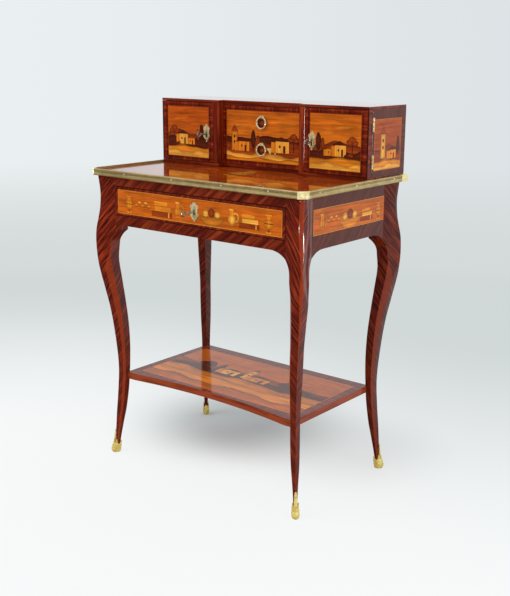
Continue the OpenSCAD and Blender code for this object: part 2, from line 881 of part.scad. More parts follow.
// Ring pulls: a stud with an eye, and a ring that swings in it
stud_r = 2.4;
eye_out = 5;
eye_gap = 0.65;
eye_r = ring_wire + eye_gap + 1.2;
eye_half = 1.8;
upper_pull_z = (upper_z0 + upper_z1) / 2 + 11;
lower_pull_z = (lower_z0 + lower_z1) / 2 + 18;
module ring_stud(z) {
    rose_r = 4.2;
    rose_t = 0.8;
    color(gilt)
        translate([0, middle_y, z])
            difference() {
                union() {
                    translate([-eye_half, -eye_out, 0])
                        rotate([0, 90, 0])
                            cylinder(r = eye_r, h = 2 * eye_half);
                    round_y(stud_r, -eye_out, small_front_t);
                    round_y(rose_r, -rose_t, 0);
                }
                translate([-far / 2, -eye_out, 0])
                    rotate([0, 90, 0])
                        cylinder(r = ring_wire + eye_gap, h = far);
            }
}
module ring(z) {
    color(gilt)
        translate([0, middle_y - eye_out, z - ring_r])
            rotate([90, 0, 0])
                rotate_extrude()
                    translate([ring_r, 0])
                        circle(ring_wire, $fn = 24);
}

module leg_front_left() leg(-1, -1);
module leg_front_right() leg(1, -1);
module leg_back_left() leg(-1, 1);
module leg_back_right() leg(1, 1);
module sabot_front_left() sabot(-1, -1);
module sabot_front_right() sabot(1, -1);
module sabot_back_left() sabot(-1, 1);
module sabot_back_right() sabot(1, 1);

leg_front_left();
leg_front_right();
leg_back_left();
leg_back_right();
sabot_front_left();
sabot_front_right();
sabot_back_left();
sabot_back_right();
frieze_top_rail();
frieze_bottom_rail();
frieze_side(-1);  // frieze_side_left
frieze_side(1);  // frieze_side_right
frieze_back();
drawer_runners();
table_top();
rim_front();
rim_side(-1);  // rim_left
rim_side(1);  // rim_right
rim_corner_pieces();
rim_nails();
lower_shelf();
cabinet_base();
cabinet_top();
cabinet_end(-1);  // cabinet_end_left
cabinet_end(1);  // cabinet_end_right
partition(-1);  // partition_left
partition(1);  // partition_right
cabinet_back();
drawer_divider();
middle_rail();
cabinet_hinge_leaves();
door(-1);  // door_left
door_hinge_leaves(-1);  // door_left_hinge_leaves
door_escutcheon(-1);  // door_left_escutcheon
door_lock(-1);  // door_left_lock
door_bolt(-1);  // door_left_bolt
door_key(-1, left_key_out);  // door_left_key
door(1);  // door_right
door_hinge_leaves(1);  // door_right_hinge_leaves
door_escutcheon(1);  // door_right_escutcheon
door_lock(1);  // door_right_lock
door_bolt(1);  // door_right_bolt
door_key(1, right_key_out);  // door_right_key
writing_drawer_front();
writing_drawer_sides();
writing_drawer_back();
writing_drawer_bottom();
writing_drawer_escutcheon();
writing_drawer_lock();
writing_drawer_bolt();
writing_drawer_key();
small_front(upper_z0, upper_z1, upper_pull_z);  // upper_drawer_front
small_box(split_z + divider_t / 2 + seat, upper_z1 - 4);  // upper_drawer_box
ring_stud(upper_pull_z);  // upper_ring_stud
ring(upper_pull_z);  // upper_ring
small_front(lower_z0, lower_z1, lower_pull_z);  // lower_drawer_front
small_box(cabinet_z0 + seat, split_z - divider_t / 2 - 2);  // lower_drawer_box
ring_stud(lower_pull_z);  // lower_ring_stud
ring(lower_pull_z);  // lower_ring
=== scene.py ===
import json
import math
import bmesh
import bpy
from mathutils import Matrix, Vector


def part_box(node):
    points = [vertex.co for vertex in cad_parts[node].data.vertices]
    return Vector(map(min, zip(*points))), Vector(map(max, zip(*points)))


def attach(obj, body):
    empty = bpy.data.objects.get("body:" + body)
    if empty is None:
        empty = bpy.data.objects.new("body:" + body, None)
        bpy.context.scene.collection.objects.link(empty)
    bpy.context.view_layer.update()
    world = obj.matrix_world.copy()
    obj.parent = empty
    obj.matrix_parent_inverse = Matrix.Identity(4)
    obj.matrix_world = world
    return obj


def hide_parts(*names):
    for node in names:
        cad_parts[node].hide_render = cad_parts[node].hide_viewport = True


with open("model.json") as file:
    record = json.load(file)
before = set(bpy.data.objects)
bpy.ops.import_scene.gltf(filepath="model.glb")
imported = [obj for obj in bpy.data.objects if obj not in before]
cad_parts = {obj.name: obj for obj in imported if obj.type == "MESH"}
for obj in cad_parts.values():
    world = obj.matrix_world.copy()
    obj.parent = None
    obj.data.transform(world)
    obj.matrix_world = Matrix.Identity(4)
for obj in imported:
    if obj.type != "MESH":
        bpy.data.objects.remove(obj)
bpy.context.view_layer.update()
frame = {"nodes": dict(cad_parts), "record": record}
nodes = frame["nodes"]
bodyOfNode = {node: body for body, members in frame["record"]["behaviour"]["bodies"].items()
              for node in members}
print("frame loaded:", len(nodes), "CAD nodes")


def boxOf(*names):
    # lowest and highest corner of one or more CAD pieces
    lows, highs = zip(*(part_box(name) for name in names))
    return [min(low[k] for low in lows) for k in range(3)], [max(high[k] for high in highs) for k in range(3)]


def middleOf(*names):
    low, high = boxOf(*names)
    return [(low[k] + high[k]) / 2 for k in range(3)]


# Camera

cameraSettings = {
    "place": (1.4700, -1.7709, 1.0248),
    "turn": 38.92,      # degrees to the right of straight on
    "dip": -14.36,
    "roll": 0.305,
    "focal": 956.8,     # pixels of a picture as wide as the next value
    "pictureWide": 510,
    "sensorWide": 36,   # mm
}


def addCamera(settings):
    turn, dip, roll = (math.radians(settings[key]) for key in ("turn", "dip", "roll"))
    ahead = Vector((-math.sin(turn) * math.cos(dip), math.cos(turn) * math.cos(dip), math.sin(dip)))
    side = ahead.cross(Vector((0, 0, 1))).normalized()
    up = side.cross(ahead)
    side, up = (side * math.cos(roll) + up * math.sin(roll), up * math.cos(roll) - side * math.sin(roll))
    lens = bpy.data.cameras.new("camera")
    lens.sensor_fit = "HORIZONTAL"
    lens.sensor_width = settings["sensorWide"]
    lens.lens = settings["focal"] / settings["pictureWide"] * settings["sensorWide"]
    camera = bpy.data.objects.new("camera", lens)
    camera.matrix_world = Matrix.Translation(settings["place"]) @ Matrix(
        (side, up, -ahead)).transposed().to_4x4()
    bpy.context.scene.collection.objects.link(camera)
    bpy.context.scene.camera = camera


addCamera(cameraSettings)


# Shader values as Python expressions

class Wire:
    # one value in a material; its operators add Math nodes
    def __init__(self, tree, socket):
        self.tree = tree
        self.socket = socket

    def node(self, kind, settings=None, inputs=None, output=0):
        item = self.tree.nodes.new(kind)
        for key, value in (settings or {}).items():
            if key == "stops":
                ramp = item.color_ramp
                while len(ramp.elements) < len(value):
                    ramp.elements.new(0.5)
                for stop, (place, colour) in zip(ramp.elements, value):
                    stop.position = place
                    stop.color = (*colour, 1)
            else:
                setattr(item, key, value)
        for key, value in (inputs or {}).items():
            if isinstance(value, Wire):
                self.tree.links.new(value.socket, item.inputs[key])
            else:
                item.inputs[key].default_value = value
        return Wire(self.tree, item.outputs[output])

    def calc(self, operation, *others):
        inputs = {place + 1: other for place, other in enumerate(others)}
        return self.node("ShaderNodeMath", {"operation": operation}, {0: self, **inputs})

    def __add__(self, other):
        return self.calc("ADD", other)

    __radd__ = __add__

    def __sub__(self, other):
        return self.calc("SUBTRACT", other)

    def __rsub__(self, other):
        return self.node("ShaderNodeMath", {"operation": "SUBTRACT"}, {0: other, 1: self})

    def __mul__(self, other):
        return self.calc("MULTIPLY", other)

    __rmul__ = __mul__

    def __truediv__(self, other):
        return self.calc("DIVIDE", other)

    def __neg__(self):
        return self.calc("MULTIPLY", -1.0)

    def __abs__(self):
        return self.calc("ABSOLUTE")

    def least(self, other):
        return self.calc("MINIMUM", other)

    def most(self, other):
        return self.calc("MAXIMUM", other)

    def rise(self, low, high, bottom=0.0, top=1.0):
        return self.node("ShaderNodeMapRange", {"interpolation_type": "SMOOTHSTEP"},
                         {0: self, 1: low, 2: high, 3: bottom, 4: top})

    def mix(self, first, second):
        # this value is the factor between two colours
        return self.node("ShaderNodeMix", {"data_type": "RGBA"},
                         {0: self, 6: asColour(first), 7: asColour(second)}, 2)

    def tint(self, factor):
        return self.node("ShaderNodeVectorMath", {"operation": "SCALE"}, {0: asColour(self), 3: factor})

    def times(self, colour):
        return self.node("ShaderNodeVectorMath", {"operation": "MULTIPLY"}, {0: self, 1: colour})


def reachOf(x, y):
    # how far a flat place lies from the middle
    return (x * x + y * y).calc("SQRT")


def asColour(value):
    return value if isinstance(value, Wire) or len(value) == 4 else (*value, 1)


def linear(red, green, blue):
    # colour given as it shows on a screen, 0 to 255
    return tuple(((c / 255 + 0.055) / 1.055) ** 2.4 if c > 10 else c / 255 / 12.92
                 for c in (red, green, blue))


class Finish:
    # a new material with its Principled shader and its object coordinates
    def __init__(self, name, **fixed):
        self.material = bpy.data.materials.new(name)
        self.material.use_nodes = True
        self.tree = self.material.node_tree
        self.shader = next(n for n in self.tree.nodes if n.type == "BSDF_PRINCIPLED")
        self.start = Wire(self.tree, None)
        place = self.tree.nodes.new("ShaderNodeTexCoord")
        self.place = Wire(self.tree, place.outputs["Object"])
        self.facing = Wire(self.tree, place.outputs["Normal"])
        self.x, self.y, self.z = self.split(self.place)
        for socket, value in fixed.items():
            self.shader.inputs[socket.replace("_", " ")].default_value = value

    def split(self, vector):
        item = self.tree.nodes.new("ShaderNodeSeparateXYZ")
        self.tree.links.new(vector.socket, item.inputs[0])
        return [Wire(self.tree, out) for out in item.outputs]

    def join(self, x, y, z):
        return self.start.node("ShaderNodeCombineXYZ", None, {0: x, 1: y, 2: z})

    def noise(self, vector, scale, detail=3.0, rough=0.55, warp=0.0):
        return self.start.node("ShaderNodeTexNoise", None, {
            "Vector": vector, "Scale": scale, "Detail": detail, "Roughness": rough, "Distortion": warp})

    def stretch(self, factors, turn=(0, 0, 0)):
        # object coordinates turned, then scaled per axis
        turned = self.start.node("ShaderNodeMapping", None, {
            "Vector": self.place, "Rotation": tuple(math.radians(a) for a in turn)})
        return self.start.node("ShaderNodeVectorMath", {"operation": "MULTIPLY"}, {0: turned, 1: factors})

    def ramp(self, value, stops):
        return self.start.node("ShaderNodeValToRGB", {"stops": stops}, {0: value})

    def out(self, socket, wire):
        self.tree.links.new(wire.socket, self.shader.inputs[socket])

    def bump(self, height, distance):
        self.out("Normal", self.start.node("ShaderNodeBump", None, {
            "Height": height, "Distance": distance, "Strength": 1.0}))
        return self.material


# Wood finishes

polish = {"Coat_Weight": 1.0, "Coat_Roughness": 0.05, "Coat_IOR": 1.5, "Specular_IOR_Level": 0.12}
tones = {name: linear(*shown) for name, shown in {
    "kingDark": (60, 11, 4),
    "king": (116, 30, 10),
    "kingLight": (178, 72, 28),
    "strip": (166, 62, 28),
    "fleck": (170, 64, 26),
    "edge": (150, 64, 32),
    "edgeDark": (112, 40, 18),
    "side": (94, 36, 22),
    "sideDark": (66, 20, 12),
    "sideLight": (118, 50, 30),
    "satin": (204, 98, 16),
    "satinDeep": (184, 78, 8),
    "dusk": (202, 100, 14),
    "glow": (222, 122, 24),
    "lemon": (250, 172, 62),
    "amber": (232, 134, 28),
    "russet": (156, 62, 14),
    "umber": (92, 34, 12),
    "ink": (46, 16, 6),
    "pale": (240, 196, 120),
}.items()}
kingwood = ("kingDark", "king", "kingLight")
sideTones = ("sideDark", "side", "sideLight")
shelfTones = ("edgeDark", "edge", "edge")
deskMiddle = middleOf("frieze_top_rail", "frieze_back")[1]


def grainOf(finish, along, turn=(0, 0, 0), coarse=1.0):
    # soft figure between 0 and 1 that runs along one axis, and fine dark pores
    rates = {"x": (5, 90, 90), "y": (90, 5, 90), "z": (90, 90, 5)}[along]
    figure = finish.noise(finish.stretch(tuple(r * coarse for r in rates), turn), 1.0, 5.0, 0.6, 0.6)
    fine = finish.noise(finish.stretch(tuple(r * 9 * coarse for r in rates), turn), 1.0, 2.0, 0.5)
    return figure, fine


def toneStops(places, names):
    return [(place, tones[name]) for place, name in zip(places, names)]


def veneer(name, along, turn=(0, 0, 0), coarse=1.0, shade=1.0):
    finish = Finish(name, **polish)
    figure, fine = grainOf(finish, along, turn, coarse)
    colour = finish.ramp(figure, toneStops((0.30, 0.5, 0.74), kingwood))
    finish.out("Base Color", colour.tint(fine.rise(0.25, 0.7, 0.72 * shade, 1.1 * shade)))
    finish.out("Roughness", fine * 0.16 + 0.17)
    return finish.bump(fine, 0.00004)


def chevronVeneer(name, tilt, shade=1.0):
    # diagonal veneer on uprights: the stripes lean towards the outer corner on both faces
    finish = Finish(name, **polish)
    nx, ny = finish.split(finish.facing)[:2]
    onSide = (abs(nx) - abs(ny)).rise(-0.02, 0.02)
    across = onSide * (abs(finish.y - deskMiddle) - abs(finish.x)) + abs(finish.x)
    lean = across * tilt + finish.z
    flow = across * (1 / tilt) - finish.z
    spread = finish.join(lean * 150.0, flow * 9.0, onSide * 3.0)
    figure = finish.noise(spread, 1.0, 4.0, 0.6, 0.4)
    fine = finish.noise(finish.join(lean * 900.0, flow * 40.0, 0.0), 1.0, 2.0, 0.5)
    colour = finish.ramp(figure, toneStops((0.41, 0.54, 0.68), ("kingDark", "king", "fleck")))
    # duller towards the foot, and a plain redder strip where the corner is canted: partly its own veneer,
    # partly painted light for how that face is lit
    colour = finish.z.rise(0.25, 0.58, 0.4, 0.0).mix(colour, tones["side"])
    cant = abs(abs(nx) - abs(ny)).rise(0.4, 0.6, 1.0, 0.0)
    colour = (cant * 0.6).mix(colour, tones["strip"])
    finish.out("Base Color", colour.tint(fine.rise(0.25, 0.7, 0.7 * shade, 1.14 * shade)))
    finish.out("Roughness", fine * 0.16 + 0.17)
    return finish.bump(fine, 0.00004)


def plainWood(name, along):
    finish = Finish(name)
    figure, fine = grainOf(finish, along)
    colour = finish.ramp(figure, [(0.3, linear(112, 74, 40)), (0.55, linear(158, 112, 66)),
                                  (0.8, linear(184, 140, 90))])
    finish.out("Base Color", colour.tint(fine.rise(0.2, 0.75, 0.8, 1.1)))
    finish.out("Roughness", fine * 0.2 + 0.45)
    return finish.bump(fine, 0.00008)


# Marquetry

class Picture:
    # flat picture in cut veneers; p runs right and q runs up, in millimetres from the panel's middle
    def __init__(self, finish, p, q, middle, seed):
        self.p, self.q, self.middle = p, q, middle
        level = finish.noise(finish.join(p * 0.008 + seed, q * 0.13, seed), 1.0, 5.0, 0.7, 0.9)
        upright = finish.noise(finish.join(p * 0.18, q * 0.01 + seed, seed), 1.0, 4.0, 0.64, 0.4)
        cloud = finish.noise(finish.join(p * 0.02, q * 0.03, seed + 4.0), 1.0, 2.0)
        self.level = (level * 0.78 + cloud * 0.22).rise(0.3, 0.7, 0.52, 1.28)
        self.upright = upright.rise(0.3, 0.7, 0.64, 1.2)
        self.ragged = finish.noise(finish.join(p * 0.11, q * 0.11, seed), 1.0, 2.0) - 0.5
        self.colour = None

    def sky(self, high, low, height):
        blend = (self.q + self.ragged * 14.0).rise(-height, height)
        self.colour = blend.mix(tones[low], tones[high]).tint(self.level)

    def lay(self, distance, tone, upright=False, burn=0.0, edge=0.55):
        # a piece of veneer where distance is below zero, with a cut line and a scorched rim
        inside = distance.rise(-0.25, 0.25, 1.0, 0.0)
        shade = self.upright if upright else self.level
        if burn:
            shade = shade * distance.rise(-burn, 0.0, 1.06, 0.62)
        self.colour = inside.mix(self.colour, shade.times(tones[tone]))
        if edge:
            line = abs(distance).rise(0.15, 0.65, edge, 0.0)
            self.colour = line.mix(self.colour, tones["ink"])

    def dark(self, distance):
        # dark spot without a cut line
        self.lay(distance, "umber", edge=0.0)

    def box(self, x, y, halfW, halfH):
        return (abs(self.p - x) - halfW).most(abs(self.q - y) - halfH)

    def oval(self, x, y, halfW, halfH, rough=0.0):
        dx = self.p - x
        dy = (self.q - y) * (halfW / halfH)
        distance = reachOf(dx, dy) - halfW
        return distance + self.ragged * rough if rough else distance

    def roof(self, x, y, halfW, height):
        return (abs(self.p - x) * (height / halfW) + (self.q - y) - height).most(y - self.q) * 0.8

    def land(self, y, rise, rate, phase, rough):
        # everything below a rolling line
        line = (self.p * rate + phase).calc("SINE") * rise + (self.p * (rate * 2.3) + phase * 1.7).calc(
            "SINE") * (rise * 0.4)
        return self.q - y - line + self.ragged * rough

    def cottage(self, x, y, halfW, halfH, wall="lemon", roofTone="umber"):
        self.lay(self.box(x, y, halfW, halfH), wall, True)
        self.lay(self.box(x - halfW * 1.35, y - halfH * 0.1, halfW * 0.36, halfH * 0.92), "amber", True)
        self.lay(self.roof(x - halfW * 0.15, y + halfH, halfW * 1.35, halfH * 0.75), roofTone)
        self.dark(self.box(x + halfW * 0.3, y - halfH * 0.35, halfW * 0.17, halfH * 0.62))
        self.dark(self.box(x - halfW * 0.4, y + halfH * 0.1, halfW * 0.14, halfH * 0.2))

    def tower(self, x, y, halfW, halfH, wall="amber"):
        self.lay(self.box(x, y, halfW, halfH), wall, True, burn=halfW * 0.8)
        self.lay(self.roof(x, y + halfH, halfW * 1.3, halfW * 1.9), "russet")
        self.dark(self.oval(x, y + halfH * 0.45, halfW * 0.3, halfW * 0.45))
        self.dark(self.oval(x, y - halfH * 0.1, halfW * 0.3, halfW * 0.45))

    def poplar(self, x, y, halfW, halfH, tone="umber"):
        self.dark(self.box(x, y - halfH, halfW * 0.16, halfH * 0.35))
        self.lay(self.oval(x, y, halfW, halfH, 2.4), tone, True, burn=halfW * 0.9)

    def tree(self, x, y, size, tone="russet"):
        self.dark(self.box(x, y - size * 1.2, size * 0.1, size * 0.9))
        for dx, dy, s in ((-0.55, 0.0, 0.62), (0.55, -0.1, 0.58), (0.0, 0.42, 0.7)):
            self.lay(self.oval(x + dx * size, y + dy * size, s * size, s * size * 0.7, 3.0), tone, True,
                     burn=s * size * 0.7)

    def clouds(self, x, y, s, tone):
        for dx, dy, size in ((-0.7, -0.12, 0.5), (0.6, 0.1, 0.6), (0.0, 0.0, 0.8)):
            self.lay(self.oval(x + dx * s, y + dy * s, size * s, size * s * 0.2, 7.0), tone, edge=0.08)

    def shrubs(self, x, y, s):
        for dx, dy, tone in ((-0.8, 0.0, "umber"), (0.7, 0.2, "russet"), (0.0, -0.3, "umber")):
            self.lay(self.oval(x + dx * s, y + dy * s, s * 0.75, s * 0.45, 3.5), tone, True, edge=0.0)

    def bridge(self, x, y, halfW, halfH):
        deck = self.box(x, y, halfW, halfH)
        arches = None
        for k in (-1, 0, 1):
            arch = self.oval(x + k * halfW * 0.62, y - halfH, halfW * 0.22, halfH * 1.15)
            arches = arch if arches is None else arches.least(arch)
        self.lay(deck.most(-arches), "pale", True)
        self.lay(self.box(x, y + halfH, halfW * 1.06, halfH * 0.16), "russet", edge=0.0)

    # still-life pieces for the friezes, each about as wide and high as its size
    def urn(self, x, y, s, tone):
        self.lay(self.box(x, y - s * 0.86, s * 0.32, s * 0.1), tone)
        self.lay(self.box(x, y - s * 0.68, s * 0.1, s * 0.14), "russet", edge=0.0)
        self.lay(self.oval(x, y - s * 0.12, s * 0.5, s * 0.46), tone, True, burn=s * 0.4)
        self.lay(self.box(x, y + s * 0.42, s * 0.2, s * 0.16), tone, edge=0.3)
        self.lay(self.box(x, y + s * 0.62, s * 0.36, s * 0.08), "amber")
        self.dark(self.box(x, y - s * 0.1, s * 0.47, s * 0.035))

    def bowl(self, x, y, s):
        dish = self.oval(x, y, s, s * 0.62).most(self.q - y)
        self.lay(self.box(x, y - s * 0.68, s * 0.34, s * 0.07), "russet")
        self.lay(dish, "amber", burn=s * 0.35)
        for dx, dy, r, fruit in ((-0.5, 0.16, 0.24, "lemon"), (0.0, 0.24, 0.28, "russet"),
                                 (0.48, 0.15, 0.24, "lemon")):
            self.lay(self.oval(x + dx * s, y + dy * s, r * s, r * s), fruit, burn=r * s * 0.8)

    def books(self, x, y, s, tone):
        self.lay(self.box(x, y - s * 0.46, s * 0.92, s * 0.17), "russet")
        self.lay(self.box(x + s * 0.08, y - s * 0.1, s * 0.74, s * 0.17), tone)
        self.lay(self.box(x - s * 0.1, y + s * 0.24, s * 0.62, s * 0.15), "amber")
        self.lay(self.box(x + s * 0.62, y - s * 0.46, s * 0.05, s * 0.17), "lemon", edge=0.0)

    def jug(self, x, y, s, tone):
        loop = abs(self.oval(x + s * 0.42, y, s * 0.3, s * 0.36)) - s * 0.06
        self.lay(loop, tone, edge=0.3)
        self.lay(self.oval(x, y - s * 0.2, s * 0.42, s * 0.46), tone, True, burn=s * 0.35)
        self.lay(self.box(x, y + s * 0.36, s * 0.2, s * 0.26), "amber", True, edge=0.3)
        self.lay(self.oval(x - s * 0.06, y + s * 0.62, s * 0.3, s * 0.09), "lemon")
        self.lay(self.box(x, y - s * 0.7, s * 0.28, s * 0.07), "amber")

    def leaves(self, x, y, s):
        for k, (dx, dy) in enumerate(((-0.8, 0.1), (-0.4, 0.35), (0.0, 0.1), (0.4, 0.36), (0.8, 0.08))):
            self.lay(self.oval(x + dx * s, y + dy * s, s * 0.24, s * 0.11), "lemon" if k % 2 else "amber",
                     burn=s * 0.1)
        self.lay(self.box(x, y - s * 0.06, s, s * 0.035), "russet", edge=0.0)


def doorScene(pic, way, seed, high, low):
    pic.sky(high, low, 60.0)
    pic.clouds(way * 24, 34, 22, low)
    pic.clouds(way * -24, 20, 16, low)
    pic.lay(pic.land(-4 + seed, 6, 0.045, 1.0 + seed, 4), "russet", burn=16)
    pic.lay(pic.land(-18, 5, 0.06 * way, 2.2 + seed, 3), "umber", burn=10)
    pic.poplar(way * -46, 0, 7, 20)
    pic.poplar(way * -34, -6, 5, 14, "russet")
    pic.cottage(way * -12, -24, 11, 8, "amber", "russet")
    pic.cottage(way * 16, -19, 15, 13)
    pic.tree(way * 48, 2, 14)
    pic.shrubs(way * 38, -30, 8)
    pic.lay(pic.land(-37, 3, 0.05, 0.4 + seed, 2), "amber", burn=9)
    pic.lay(pic.land(-49, 3, 0.07, 3.1 + seed, 2), "lemon", burn=8)


def middleScene(pic):
    pic.sky("dusk", "glow", 55.0)
    pic.lay(pic.oval(-52, 26, 38, 3.5, 4), "glow", edge=0.0)
    pic.lay(pic.oval(58, 34, 44, 4, 4), "glow", edge=0.0)
    pic.lay(pic.land(-2, 4, 0.035, 0.6, 3), "umber", burn=10)
    pic.lay(pic.land(-14, 5, 0.05, 2.6, 4), "russet", burn=12)
    pic.tower(-88, -14, 9, 24)
    pic.cottage(-58, -26, 17, 12, "amber", "umber")
    pic.poplar(-28, -8, 7, 22)
    pic.poplar(-14, -14, 6, 17, "russet")
    pic.bridge(16, -33, 26, 8)
    pic.cottage(62, -22, 20, 14, "lemon", "umber")
    pic.tree(96, -2, 15)
    pic.lay(pic.land(-42, 4, 0.045, 1.1, 3), "lemon", burn=10)
    pic.lay(pic.land(-53, 2, 0.06, 2.1, 2), "amber", burn=6)
    for ring in ("upper_ring", "lower_ring"):
        # painted shade behind each ring pull: a dark round patch with a redder middle
        height = (middleOf(ring)[2] - pic.middle[1]) * 1000
        pic.dark(pic.oval(0, height, 14.5, 14.5))
        pic.lay(pic.oval(0, height, 5.5, 5.5), "russet", edge=0.0)


def sideScene(pic, way):
    pic.sky("satinDeep", "russet", 90.0)
    pic.lay(pic.land(-8, 5, 0.05, 0.9, 4), "russet", burn=14)
    pic.tower(way * -20, -4, 10, 28, "lemon")
    pic.cottage(way * 22, -24, 15, 10, "amber", "umber")
    pic.poplar(way * 44, -4, 6, 20)
    pic.lay(pic.land(-36, 3, 0.06, 2.0, 3), "amber", burn=9)
    pic.lay(pic.land(-46, 3, 0.07, 0.7, 2), "lemon", burn=7)


def drawerScene(pic):
    pic.sky("satin", "satin", 30.0)
    pic.urn(-214, -1, 26, "amber")
    pic.leaves(-168, -5, 26)
    pic.books(-104, -1, 36, "amber")
    pic.jug(-52, 0, 25, "amber")
    pic.bowl(52, -6, 36)
    pic.jug(112, 0, 26, "lemon")
    pic.books(162, -1, 31, "lemon")
    pic.urn(216, -1, 26, "amber")


def friezeSideScene(pic):
    pic.sky("satin", "satin", 30.0)
    pic.jug(-112, 0, 24, "amber")
    pic.leaves(-68, -4, 24)
    pic.bowl(-4, -6, 40)
    pic.books(64, -2, 28, "lemon")
    pic.urn(114, -1, 25, "amber")


def shelfScene(pic):
    # seen from the front: a hamlet between low hills and fields
    pic.sky("satin", "satin", 120.0)
    pic.lay(pic.land(26, 7, 0.02, 0.6, 10), "russet", burn=26)
    pic.lay(pic.land(8, 5, 0.04, 2.0, 8), "umber", burn=14)
    pic.tree(-150, 30, 26, "umber")
    pic.poplar(-104, 24, 9, 30)
    pic.tower(-8, 26, 10, 30, "lemon")
    pic.cottage(-58, 8, 24, 16, "lemon", "umber")
    pic.cottage(40, 6, 26, 15, "amber", "umber")
    pic.tree(118, 22, 24, "umber")
    pic.lay(pic.land(-20, 6, 0.03, 1.2, 7), "glow", burn=18)
    pic.lay(pic.land(-46, 7, 0.024, 2.9, 8), "amber", burn=20)
    pic.lay(pic.land(-84, 6, 0.03, 0.2, 8), "dusk", burn=24)


def topScene(pic):
    pic.sky("satinDeep", "russet", 260.0)
    pic.dark(abs(pic.box(0, 0, 262, 152)) - 1.0)
    pic.lay(pic.oval(0, 0, 170, 104), "satinDeep", burn=26)
    pic.dark(abs(pic.oval(0, 0, 170, 104)) - 2.0)
    pic.urn(0, 6, 64, "lemon")


def opening(side, boards, left, right, low, high):
    # a picture's middle in metres and half size in mm, from its boards and its four borders' widths in mm
    across, upward = {"front": (0, 2), "right": (1, 2), "left": (1, 2), "top": (0, 1)}[side]
    bottom, top = boxOf(*boards)
    start, end = bottom[across], top[across]
    if side == "left":
        start, end = -end, -start
    start, end = start + left / 1000, end - right / 1000
    foot, head = bottom[upward] + low / 1000, top[upward] - high / 1000
    return ((start + end) / 2, (foot + head) / 2), ((end - start) * 500, (head - foot) * 500)


bandShape = {"line": 0.9, "along": 0.014, "across": 0.13}    # pale line's place in mm; grain's rates per mm


def bandGrain(finish, x, y, seed):
    return finish.noise(finish.join(x, y, seed), 1.0, 4.0, 0.62, 0.5)


def panel(name, side, boards, margins, scene, line="pale", borders=kingwood, borderTurn=None, outer=None,
          inner=0.0, edges=kingwood):
    # one face of a board: picture in a cross-banded dark border; every other face is plain dark veneer
    finish = Finish(name, **polish)
    nx, ny, nz = finish.split(finish.facing)
    across, upward, normal = {
        "front": (finish.x, finish.z, -ny),
        "right": (finish.y, finish.z, nx),
        "left": (-finish.y, finish.z, -nx),
        "top": (finish.x, finish.y, nz),
    }[side]
    middle, half = opening(side, boards, *margins)
    p = (across - middle[0]) * 1000.0
    q = (upward - middle[1]) * 1000.0
    pic = Picture(finish, p, q, middle, seed=len(name) * 1.7)
    scene(pic)
    edge = (abs(p) - half[0]).most(abs(q) - half[1])
    # grain of the border runs across each strip, or aslant over all of it
    slow, fast = bandShape["along"], bandShape["across"]
    if borderTurn is None:
        turned = ((abs(p) - half[0]) - (abs(q) - half[1])).rise(-0.2, 0.2)
        bandP = bandGrain(finish, p * slow, q * fast, 3.1)
        bandQ = bandGrain(finish, p * fast, q * slow, 5.7)
        band = turned * (bandP - bandQ) + bandQ
    else:
        a, b = math.cos(math.radians(borderTurn)), math.sin(math.radians(borderTurn))
        band = bandGrain(finish, (p * a + q * b) * slow, (q * a - p * b) * fast, 3.1)
    fine = finish.noise(finish.stretch((700, 700, 700)), 1.0, 2.0)
    frameColour = finish.ramp(band, toneStops((0.28, 0.52, 0.78), borders))
    frameColour = frameColour.tint(fine.rise(0.3, 0.7, 0.86, 1.08))
    if inner:
        # a darker band next to the picture, a redder frame outside it
        frameColour = frameColour.tint(edge.rise(inner - 0.6, inner + 0.6, 0.6, 1.1))
    colour = edge.rise(-0.2, 0.2).mix(pic.colour, frameColour)
    wide = bandShape["line"]
    colour = abs(edge - wide).rise(wide * 0.35, wide * 0.6, 1.0, 0.0).mix(colour, tones[line])
    if outer:
        # dark joint just inside the board's outline: its half width, half height and rise from the picture
        rim = (abs(p) - outer[0]).most(abs(q - outer[2]) - outer[1])
        colour = rim.rise(-2.3, -1.3, 0.0, 0.85).mix(colour, tones["ink"])
    front = normal.rise(0.45, 0.55)
    plain = finish.noise(finish.stretch((12, 12, 90)), 1.0, 4.0, 0.6, 0.4)
    finish.out("Base Color", front.mix(finish.ramp(plain, toneStops((0.3, 0.55, 0.8), edges)), colour))
    finish.out("Roughness", fine * 0.14 + 0.18)
    cut = abs(edge).rise(0.0, 0.5) * 0.5 + fine * 0.5
    return finish.bump(cut, 0.00005)


# Metal finishes

# a darker round about the keyhole, and the keyhole itself painted dark as the shade of a hole: width and
# height in mm, colour, and how well it covers the plate
keyholeSpots = [
    (6.2, 14.5, linear(176, 160, 112), 0.55),
    (2.7, 8.0, linear(30, 22, 12), 0.95),
]
keyholeDrop = 0.002     # m from the key's middle down to the keyhole's


